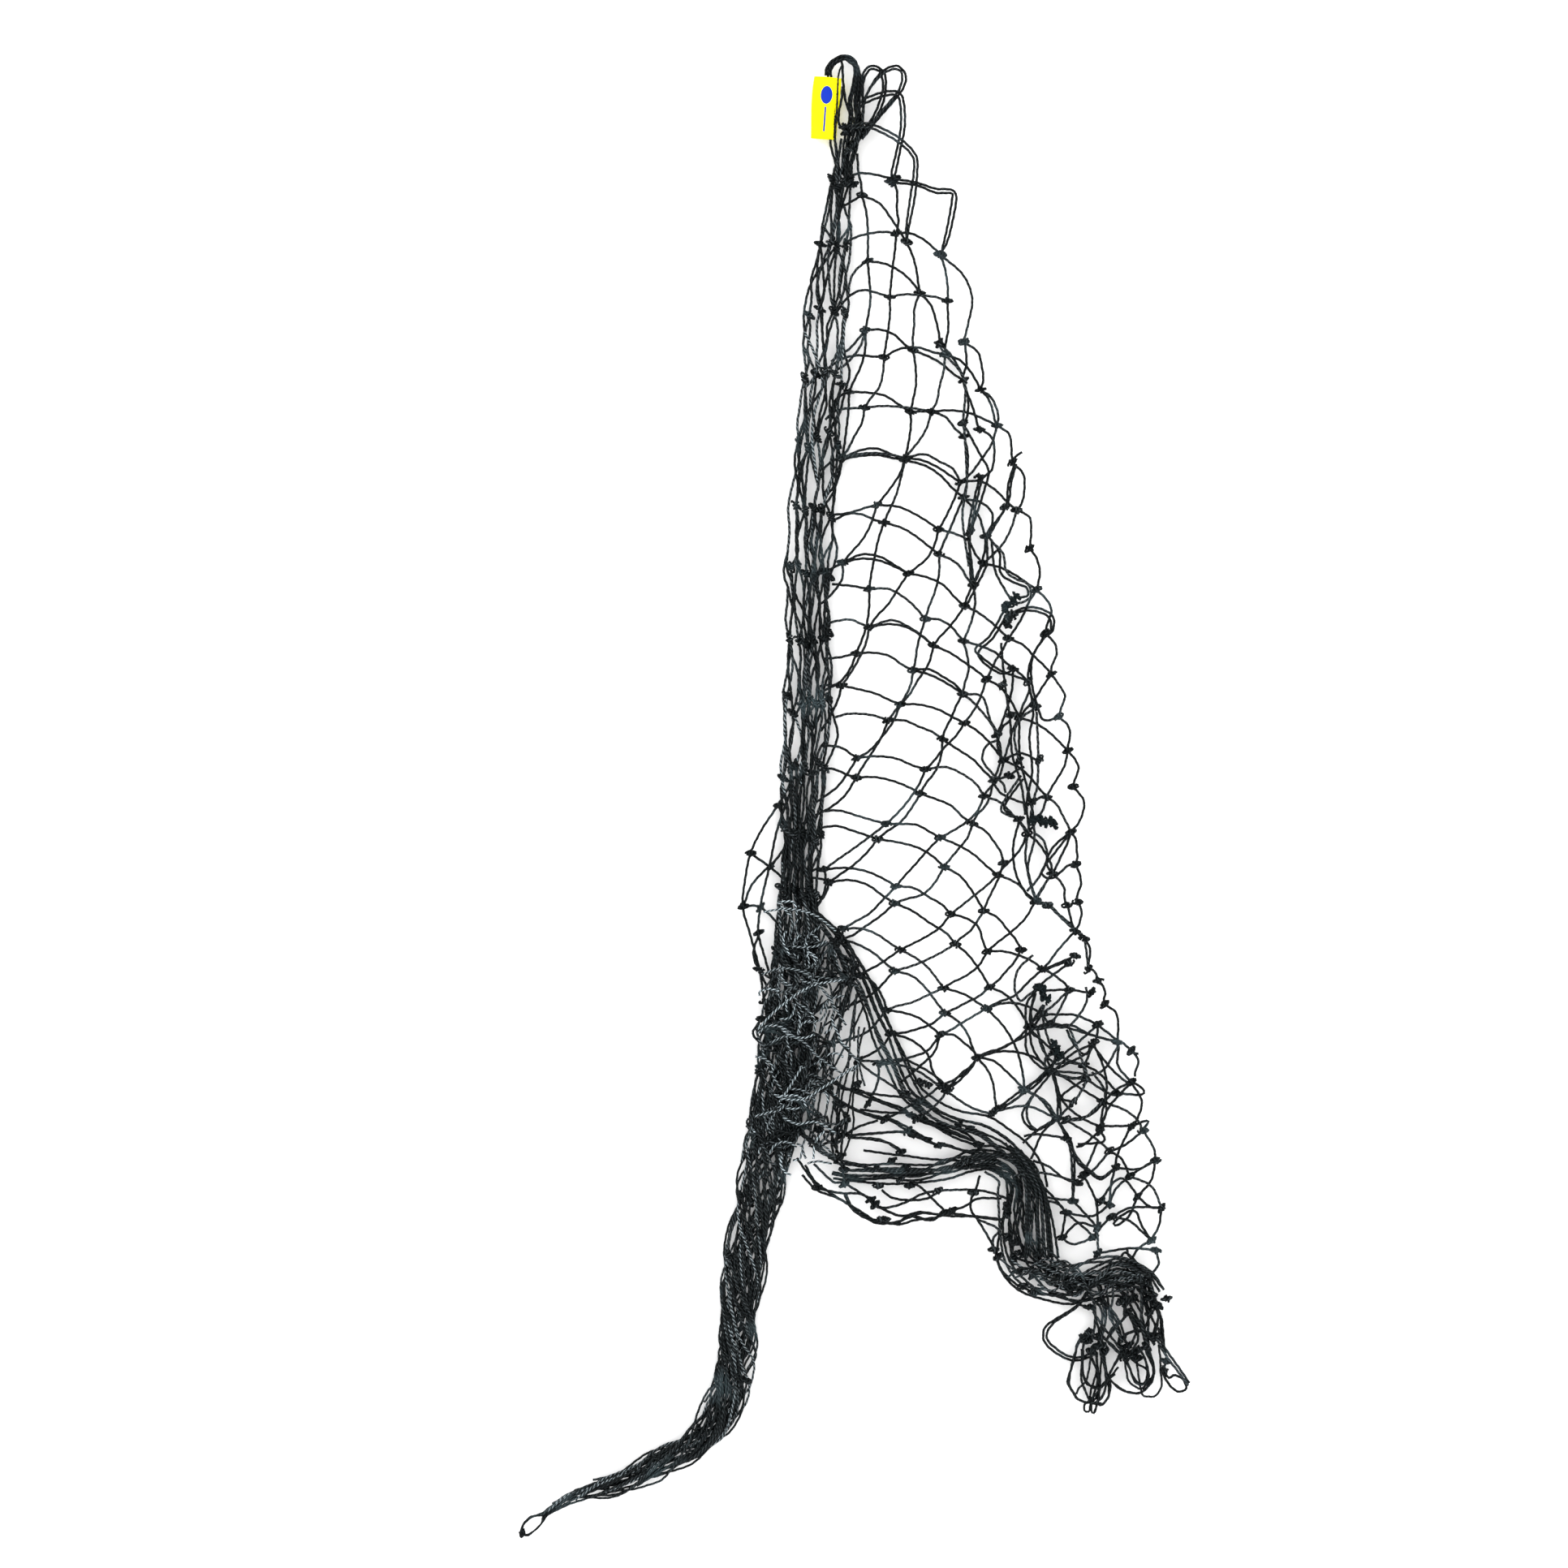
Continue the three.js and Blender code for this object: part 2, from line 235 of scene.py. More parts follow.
def thread_material():
    """Fine sewing thread in the label's yellow."""
    shader = Shader("stitching", 0.75)
    place = shader.node("ShaderNodeTexCoord").outputs["Object"]
    noise = shader.node("ShaderNodeTexNoise", {"Vector": place, "Scale": 900.0, "Detail": 2.0}).outputs["Fac"]
    shader.colour(shader.ramp(noise, (0.3, (0.42, 0.36, 0.0)), (0.7, (0.75, 0.66, 0.02))))
    shader.bump(noise, 0.3, 0.0001)
    return shader.material


def floor_material():
    """A plain pale floor, very slightly uneven."""
    shader = Shader("floor", 0.9)
    place = shader.node("ShaderNodeTexCoord").outputs["Object"]
    noise = shader.node("ShaderNodeTexNoise", {"Vector": place, "Scale": 3.0, "Detail": 3.0}).outputs["Fac"]
    shader.colour(shader.ramp(noise, (0.3, (0.93, 0.93, 0.93)), (0.7, (0.95, 0.95, 0.95))))
    return shader.material


floor_mesh = bpy.data.meshes.new("floor")
sides = ((-1, -1), (1, -1), (1, 1), (-1, 1))
floor_corners = [(x * FLOOR_HALF, y * FLOOR_HALF, -FLOOR_DROP) for x, y in sides]
floor_mesh.from_pydata(floor_corners, [], [(0, 1, 2, 3)])
floor = bpy.data.objects.new("floor", floor_mesh)
bpy.context.collection.objects.link(floor)
floor_mesh.materials.append(floor_material())

# ---------------------------------------------------------------- twine


def along(points, height=None):
    """Points as an array of x, y, z. A height is one number, or a number for each end."""
    points = np.asarray(points, float)
    if points.shape[1] == 3:
        return points
    if height is None:
        height = 1.0
    places, known = np.linspace(0, 1, len(points)), np.linspace(0, 1, np.size(height))
    return np.column_stack([points, np.interp(places, known, np.atleast_1d(height))])


def smooth(points, step):
    """A curve through the points, sampled at an even step."""
    points = np.asarray(points, float)
    padded = np.vstack([2 * points[0] - points[1], points, 2 * points[-1] - points[-2]])
    share = np.linspace(0, 1, 8, endpoint=False)[:, None]
    spans = []
    for a, b, c, d in zip(padded, padded[1:], padded[2:], padded[3:]):
        bend = (2 * a - 5 * b + 4 * c - d) * share**2
        twist = (3 * b - a - 3 * c + d) * share**3
        spans.append(0.5 * (2 * b + (c - a) * share + bend + twist))
    curve = np.vstack([*spans, points[-1:]])
    travelled = np.concatenate([[0], np.cumsum(np.linalg.norm(np.diff(curve, axis=0), axis=1))])
    stops = np.linspace(0, travelled[-1], max(2, round(travelled[-1] / step)) + 1)
    return np.column_stack([np.interp(stops, travelled, curve[:, k]) for k in range(3)])


def carried(tangents):
    """A normal at each tangent, carried along the curve without turning round it."""
    first = tangents[0]
    x, y, z = np.cross(first, (1, 0, 0) if abs(first[2]) > 0.8 else (0, 0, 1))
    normals = []
    for a, b, c in tangents.tolist():
        lean = x * a + y * b + z * c
        x, y, z = x - lean * a, y - lean * b, z - lean * c
        size = (x * x + y * y + z * z) ** -0.5
        x, y, z = x * size, y * size, z * size
        normals.append((x, y, z))
    return np.array(normals)


class Twine:
    """Strands of twine that make up one piece."""

    def __init__(self):
        self.corners, self.faces, self.uvs, self.pale_and_glints = [], [], [], []
        self.count = 0

    def strand(self, points, height=None, thickness=TWINE, pale_and_glint=0.0, wander=0.0, step=STEP):
        """One strand through the points, which wander a little from their places."""
        points = along(points, height)
        if wander:
            points = points + rng.normal(0, wander, points.shape) * (1, 1, 0.4)
        self.tube(smooth(points, step), thickness, pale_and_glint)

    def tube(self, path, thickness, pale_and_glint=0.0):
        """The mesh of one strand along a path, closed at both ends. It rests on the floor at the lowest."""
        path[:, 2] = np.maximum(path[:, 2], thickness * 0.5)
        tangents = np.gradient(path, axis=0)
        tangents /= np.linalg.norm(tangents, axis=1)[:, None] + 1e-9
        normals = carried(tangents)
        binormals = np.cross(tangents, normals)
        rings = len(path)
        turn = np.arange(rings)[:, None] * math.tau / SIDES * 0.55 + rng.uniform(0, math.tau)
        angle = turn + np.arange(SIDES)[None, :] * math.tau / SIDES
        radius = thickness / 2 * np.where(np.arange(SIDES) % 2 == 0, 1.1, 0.9)
        offset = np.cos(angle)[..., None] * normals[:, None] + np.sin(angle)[..., None] * binormals[:, None]
        shell = path[:, None] + offset * radius[None, :, None]
        base = self.count
        self.corners.append(np.vstack([shell.reshape(-1, 3), path[:1], path[-1:]]))
        # each strand's value for the material: a paler colour and a stronger painted highlight
        self.pale_and_glints.append(np.full(rings * SIDES + 2, max(0.0, pale_and_glint + rng.normal(0, 0.05))))
        index = base + np.arange(rings * SIDES).reshape(rings, SIDES)
        after = np.roll(index, -1, axis=1)
        self.faces.append(np.stack([index[:-1], after[:-1], after[1:], index[1:]], axis=-1).reshape(-1, 4))
        travelled = np.concatenate([[0], np.cumsum(np.linalg.norm(np.diff(path, axis=0), axis=1))])
        u0, u1 = travelled[:-1, None], travelled[1:, None]
        v0, v1 = np.arange(SIDES)[None, :], np.arange(1, SIDES + 1)[None, :]
        lead = rng.uniform(0, 50)
        self.uvs.append(
            np.stack(
                [
                    np.stack(np.broadcast_arrays(lead + u, v * 0.735), axis=-1)
                    for u, v in ((u0, v0), (u0, v1), (u1, v1), (u1, v0))
                ],
                axis=2,
            ).reshape(-1, 2)
        )
        foot, head = base + rings * SIDES, base + rings * SIDES + 1
        caps = [(foot, after[0, k], index[0, k], index[0, k]) for k in range(SIDES)]
        caps += [(head, index[-1, k], after[-1, k], after[-1, k]) for k in range(SIDES)]
        self.faces.append(np.array(caps))
        self.uvs.append(np.full((len(caps) * 4, 2), lead))
        self.count += rings * SIDES + 2

    def knot(self, place, height=2.0, angle=None, size=1.0, pale_and_glint=0.0):
        """A netting knot: a short coil round the strands and one turn that crosses it."""
        angle = rng.uniform(-0.9, 0.5) if angle is None else angle
        axis = np.array([math.cos(angle), math.sin(angle), rng.uniform(-0.15, 0.15)])
        side = np.array([-axis[1], axis[0], 0])
        up = np.array([0, 0, 1.0])
        centre = np.array([place[0], place[1], max(height, 2.3 * size)])
        turns = rng.choice([1.75, 2.25, 2.5])
        share = np.linspace(0, 1, int(6 * turns) + 2)[:, None]
        sweep = math.tau * turns * share + rng.uniform(0, math.tau)
        coil = centre + axis * (share - 0.5) * rng.uniform(2.8, 4.2) * size
        coil = coil + (side * np.cos(sweep) * 1.55 + up * np.sin(sweep) * 1.3) * size
        self.tube(smooth(coil, KNOT_STEP), TWINE * 0.95, pale_and_glint)
        sweep = np.linspace(0, math.tau * 0.9, 7)[:, None] + rng.uniform(0, math.tau)
        lean = rng.uniform(0.3, 0.9)
        ring = centre + axis * np.cos(sweep) * 2.9 * size + side * np.cos(sweep + lean) * 2.0 * size
        ring = ring + up * np.sin(sweep) * 1.3 * size
        self.tube(smooth(ring, KNOT_STEP), TWINE * 0.9, pale_and_glint)

    def bar(self, start, end, bow=0.0, height=1.0, twin=False, pale_and_glint=0.0, wander=0.35):
        """Twine from one knot to another. A bow to the left of its direction is positive."""
        start, end = np.asarray(start, float)[:2], np.asarray(end, float)[:2]
        run = end - start
        size = np.linalg.norm(run)
        if size < 2:
            return
        side = np.array([-run[1], run[0]])
        low, high = (height, height) if np.isscalar(height) else height
        lift = rng.uniform(-0.3, 0.5)
        for pair in range(2 if twin else 1):
            bulge = bow + pair * rng.uniform(0.05, 0.12) * (1 if bow >= 0 else -1)
            first = start + run * 0.27 + side * bulge * rng.uniform(0.8, 1.15)
            second = start + run * 0.55 + side * bulge * rng.uniform(0.85, 1.2)
            third = start + run * 0.8 + side * bulge * rng.uniform(0.35, 0.75)
            points = np.vstack([start, first, second, third, end])
            points[1:4] += rng.normal(0, wander, (3, 2))
            heights = np.interp([0, 0.27, 0.55, 0.8, 1], [0, 1], [low, high]) + [0, lift, lift, lift, 0]
            self.tube(smooth(np.column_stack([points, heights]), STEP), TWINE, pale_and_glint)

    def make(self, name, material, slot, nodes, body=None, bend=None):
        """The strands as one mesh object in the scene, standing for its CAD nodes."""
        corners = np.vstack(self.corners) * MM
        faces = np.vstack(self.faces)
        uvs = np.vstack(self.uvs)
        caps = faces[:, 2] == faces[:, 3]
        sizes = np.where(caps, 3, 4)
        keep = np.ones((len(faces), 4), bool)
        keep[caps, 3] = False
        mesh = bpy.data.meshes.new(name)
        mesh.vertices.add(len(corners))
        mesh.vertices.foreach_set("co", corners.astype(np.float32).ravel())
        mesh.loops.add(int(sizes.sum()))
        mesh.loops.foreach_set("vertex_index", faces[keep].astype(np.int32))
        mesh.polygons.add(len(faces))
        mesh.polygons.foreach_set("loop_start", np.concatenate([[0], np.cumsum(sizes)[:-1]]).astype(np.int32))
        layer = mesh.uv_layers.new(name="lay")
        layer.data.foreach_set("uv", uvs.reshape(-1, 4, 2)[keep].astype(np.float32).ravel())
        shade = mesh.attributes.new("strand", "FLOAT", "POINT")
        shade.data.foreach_set("value", np.concatenate(self.pale_and_glints).astype(np.float32))
        mesh.update(calc_edges=True)
        mesh.polygons.foreach_set("use_smooth", [True] * len(faces))
        mesh.materials.append(material)
        piece = bpy.data.objects.new(name, mesh)
        bpy.context.collection.objects.link(piece)
        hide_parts(*nodes)
        if bend:
            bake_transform(piece)
        else:
            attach(piece, body)
        return piece


# ---------------------------------------------------------------- the gathered side

# The gather from the neck down the left side: centre x, y and half width. The stations are the CAD's,
# and one more at the eye of the tail.
GATHER = np.array(
    [
        (-2, 404, 5), (-5, 392, 5), (-7, 376, 6), (-11, 338, 8), (-15, 298, 12), (-17, 258, 11),
        (-21, 217, 12.5), (-24, 176, 12), (-26, 135, 13), (-26, 96, 12.5), (-27, 56, 13), (-30, 16, 12.5),
        (-31, -24, 11), (-33, -60, 10.5), (-34, -98, 13), (-38, -134, 14), (-43, -169, 15), (-49, -204, 14),
        (-54, -226, 13.5), (-63, -274, 12.5), (-69, -309, 11), (-72, -339, 11), (-75, -364, 10.5),
        (-86, -388, 10), (-100, -401, 9), (-125, -414, 7.5), (-152, -425, 6), (-175, -432, 4),
        (-187, -439, 3), (-193, -444, 2),
    ],
    float,
)
FULLNESS = 1.08  # the strands lie a little outside the CAD's solids
GATHER[:, 2] *= FULLNESS
GATHER_HEIGHT = 8.5
TIP_STATION = 24  # number of stations down to the bend of the tail
ROUTE = np.concatenate([[0], np.cumsum(np.linalg.norm(np.diff(GATHER[:, :2], axis=0), axis=1))])


def route_place(distance, share, height_share):
    """A place in the gather: distance down its route, share of its half width, share of its height."""
    x, y, half = (np.interp(distance, ROUTE, GATHER[:, k]) for k in range(3))
    before, after = distance - 8, distance + 8
    ahead = [np.interp(after, ROUTE, GATHER[:, k]) - np.interp(before, ROUTE, GATHER[:, k]) for k in (0, 1)]
    size = math.hypot(*ahead) or 1
    across = (-ahead[1] / size, ahead[0] / size)
    tall = GATHER_HEIGHT * min(1, half / 9 + 0.2)
    dome = math.sqrt(max(0.0, 1 - share * share * 0.9))
    height = 0.9 + (tall - 0.9) * dome * height_share
    return (x + across[0] * half * share, y + across[1] * half * share, height)


def gather_x(y):
    """The centre of the gather at a height on the net."""
    return np.interp(-y, -GATHER[:TIP_STATION, 1], GATHER[:TIP_STATION, 0])


# Distance of each row of knots down the route. The net's meshes are about 40 mm from knot to knot.
KNOT_ROWS = [28, 66, 106, 145, 187, 228, 269, 308, 349, 389, 429, 466, 504, 541, 577, 613]
TAIL_ROWS = [652, 690, 728, 764, 800, 838, 874]


def knot_row(distance, per_row, tangle):
    """One row of knots across the gather, each with its distance and its shares of width and height."""
    shares = np.sort(np.linspace(-0.93, 0.93, per_row) + rng.uniform(-0.55, 0.55, per_row) / per_row)
    return [(distance + rng.normal(0, 4.5 * tangle), share, rng.uniform(0.05, 1)) for share in shares]


def net_strands(twine, nets, knots, pale_and_glint):
    """Two strands from every knot to the row below, and one up from any knot they miss."""
    for upper, lower in zip(nets, nets[1:]):
        pairs, reached = [], set()
        for k, (_, s0, _) in enumerate(upper):
            order = sorted(range(len(lower)), key=lambda other: abs(lower[other][1] - s0))
            pairs += [(k, other) for other in order[:2]]
            reached.update(order[:2])
        for other in set(range(len(lower))) - reached:
            pairs.append((min(range(len(upper)), key=lambda k: abs(upper[k][1] - lower[other][1])), other))
        for k, other in pairs:
            (d0, s0, h0), (d1, s1, h1) = upper[k], lower[other]
            bow = rng.normal(0, 0.16)
            middle = []
            for share in (0.25, 0.5, 0.75):
                s = s0 + (s1 - s0) * share + bow * math.sin(math.pi * share) + rng.normal(0, 0.05)
                h = min(1, max(0.0, h0 + (h1 - h0) * share + rng.normal(0, 0.15)))
                middle.append(route_place(d0 + (d1 - d0) * share, s, h))
            points = [route_place(d0, s0, h0), *middle, route_place(d1, s1, h1)]
            twine.strand(points, pale_and_glint=pale_and_glint + (rng.uniform(0.2, 0.6) if rng.random() < 0.15 else 0))
    if knots:
        for row in nets[1:]:
            for d, s, h in row:
                place = route_place(d, s, h)
                twine.knot(place, place[2], rng.normal(-1.5, 0.4), 1.12)


def joined_nets(counts, tangle, knots, pale_and_glint, shift):
    """Closed-up meshes down the whole gather, with more of them in each row towards the bottom."""
    nets = [knot_row(distance + shift, count, tangle) for distance, count in zip([0, *KNOT_ROWS], counts)]
    net_strands(column, nets, knots, pale_and_glint)


column = Twine()
joined_nets((3, 4, 4, 4, 5, 5, 5, 6, 6, 7, 7, 8, 9, 9, 9, 8, 8), 0.8, True, 0.02, 0)
joined_nets((1, 2, 2, 3, 3, 3, 4, 4, 4, 4, 5, 6, 7, 7, 7, 6, 6), 1.2, False, 0.03, 16)

# ---------------------------------------------------------------- the two layers of open netting

# Each row of knots is its first column and its places from left to right.
FRONT_ROWS = [
    (0, [(25.5, 380)]),
    (0, [(27, 346.5), (54, 334)]),
    (0, [(23, 307.5), (58.5, 305)]),
    (0, [(19.5, 270.5), (57, 272), (79, 250.5)]),
    (0, [(7.5, 239.5), (48.5, 237), (89, 228.5)]),
    (0, [(-6.5, 209), (32.5, 208.5), (66.5, 193.5), (101, 176.5)]),
    (1, [(15, 179.5), (53, 164.5), (80.5, 143.5), (113.5, 127.5)]),
    (1, [(-6, 144), (34.5, 137.5), (69, 117.5), (96, 97.5), (122.5, 75.5)]),
    (2, [(10.5, 104.5), (50, 93), (82.5, 72.5), (103, 49), (132.5, 28.5)]),
    (2, [(-6.5, 68.5), (29.5, 57), (69, 45.5), (93, 22.5), (119.5, 0), (134.5, -21.5)]),
    (3, [(3, 24), (45, 17), (81, 0.5), (107.5, -22.5), (123, -47), (132, -66.5)]),
    (4, [(21, -16.5), (54, -25), (89.5, -48), (112.5, -64), (137, -82.5)]),
    (4, [(-17, -44.5), (27, -55), (60.5, -72), (83, -95), (117, -106), (133.5, -118.5)]),
    (5, [(-5.5, -81), (29.5, -94), (56, -117.5), (82.5, -130), (116.5, -133.5), (151, -140)]),
    (6, [(4.5, -109.5), (21, -131), (54, -146), (77, -160), (106, -180.5)]),
    (8, [(16, -164), (59, -179)]),
]
FRONT_ENDS = [
    (-3, 381.5), (-5, 340.5), (-10, 297.5), (-15, 263.5), (-16.5, 232), (-19, 196), (-12.5, 173.5),
    (-18, 133), (-15, 107), (-20, 68), (-18.5, 31.5), (-20, -9), (-25, -45.5),
]
BACK_ROWS = [
    (0, [(6, 370.5), (33.5, 341.5)]),
    (0, [(9.5, 330), (41.5, 310.5), (54, 279)]),
    (0, [(8, 287.5), (37.5, 275), (68.5, 256.5)]),
    (0, [(-2, 249.5), (36, 237), (69, 222)]),
    (0, [(-6.5, 208), (32.5, 207.5), (68.5, 184.5), (82, 160.5)]),
    (1, [(19.5, 169), (53.5, 149.5), (74.5, 130.5)]),
    (1, [(10.5, 128), (45, 109.5), (68.5, 96), (99, 79)]),
    (1, [(2.5, 88.5), (37.5, 78), (68, 63.5), (89, 38)]),
    (2, [(22, 47), (55.5, 35.5), (87, 10.5)]),
    (2, [(2.5, 12), (42, 2), (74, -16.5), (93, -40.5)]),
    (3, [(15.5, -26), (56.5, -43), (81, -70), (104, -94)]),
    (3, [(-14, -52.5), (26, -65.5), (63.5, -90.5), (84.5, -117), (109, -141.5)]),
    (4, [(-7.5, -87.5), (26, -107), (57, -133), (77, -160.5), (121.5, -168)]),
    (6, [(23.5, -145.5), (55, -177)]),
]
BACK_ENDS = [
    (-8, 361), (-2.5, 308), None, (-13.5, 233), None, (-11.5, 170), (-12.5, 131), (-17.5, 85), (-12, 48.5),
    (-25, 14), (-20, -19), (-25, -50),
]
EDGE_KNOTS = [
    (54, 334), (68.5, 280), (79, 250.5), (89, 228.5), (98.5, 206), (101.5, 176.5), (109, 153),
    (113.5, 127.5), (118.5, 101), (122.5, 75.5), (127, 49.5), (132.5, 28.5), (136, 6.5), (134.5, -21.5),
    (137.5, -41.5), (138.5, -64.5), (137, -82.5), (145, -106), (151.5, -113), (155, -127.5), (163, -151),
    (171.5, -156), (174, -172),
]


def lattice(rows, ends, height, row_bow, down_bow):
    """One open layer: a knot at every place, bars along and down the rows, and bars to the gather."""
    twine = Twine()
    places = {(r, c): place for r, (first, row) in enumerate(rows) for c, place in enumerate(row, first)}
    for (row, column_number), place in places.items():
        twine.knot(place, height + 0.9, rng.uniform(-0.8, -0.1))
        z = (height, height)
        if (row, column_number + 1) in places:
            bow = row_bow + rng.normal(0, 0.03)
            twine.bar(place, places[row, column_number + 1], bow, z, twin=rng.random() < 0.05)
        if (row + 1, column_number) in places:
            twine.bar(place, places[row + 1, column_number], down_bow + rng.normal(0, 0.04), z)
        elif row + 1 < len(rows) and column_number < rows[row + 1][0]:
            low = place[1] - rng.uniform(22, 32)
            end = (gather_x(low) + rng.uniform(0, 9), low)
            twine.bar(place, end, 0.1 + rng.normal(0, 0.05), (height, 4))
    for row, end in enumerate(ends):
        if end is not None:
            twine.bar(end, rows[row][1][0], row_bow + rng.normal(0, 0.05), (4.5, height))
    return twine, places


front, front_places = lattice(FRONT_ROWS, FRONT_ENDS, 3.8, 0.09, 0.05)
back, back_places = lattice(BACK_ROWS, BACK_ENDS, 1.1, 0.09, 0.05)

known = [*front_places.values(), *back_places.values()]
for number, (upper, lower) in enumerate(zip(EDGE_KNOTS, EDGE_KNOTS[1:])):
    side = front if number % 2 else back
    z = 3.6 if number % 2 else 1.1
    side.bar(upper, lower, 0.17 + rng.normal(0, 0.03), (z, z))
    if min(math.dist(upper, place) for place in known) > 3:
        side.knot(upper, z + 0.9)

# Short runs that leave the last rows for the swag below, and the strands of the first meshes.
for start, end in (
    ((16, -164), (9, -190)), ((59, -179), (40, -199)), ((106, -180.5), (86, -194)),
    ((106, -180.5), (125, -198)), ((77, -160), (58, -179)), ((54, -146), (30, -175)),
    ((82.5, -130), (106, -180.5)),
):
    front.bar(start, end, rng.uniform(0.05, 0.15), (3.6, 5))
for start, end in (
    ((23.5, -145.5), (3, -162)), ((55, -177), (20, -198)), ((77, -160.5), (89, -193)),
    ((121.5, -168), (89, -193)), ((121.5, -168), (109, -141.5)), ((6, 370.5), (3, 396)),
    ((8, 287.5), (-11, 262)), ((8, 287.5), (-13, 268)),
):
    back.bar(start, end, rng.uniform(0.02, 0.12), (1.1, 2.2))

# ---------------------------------------------------------------- the folded edge on the right

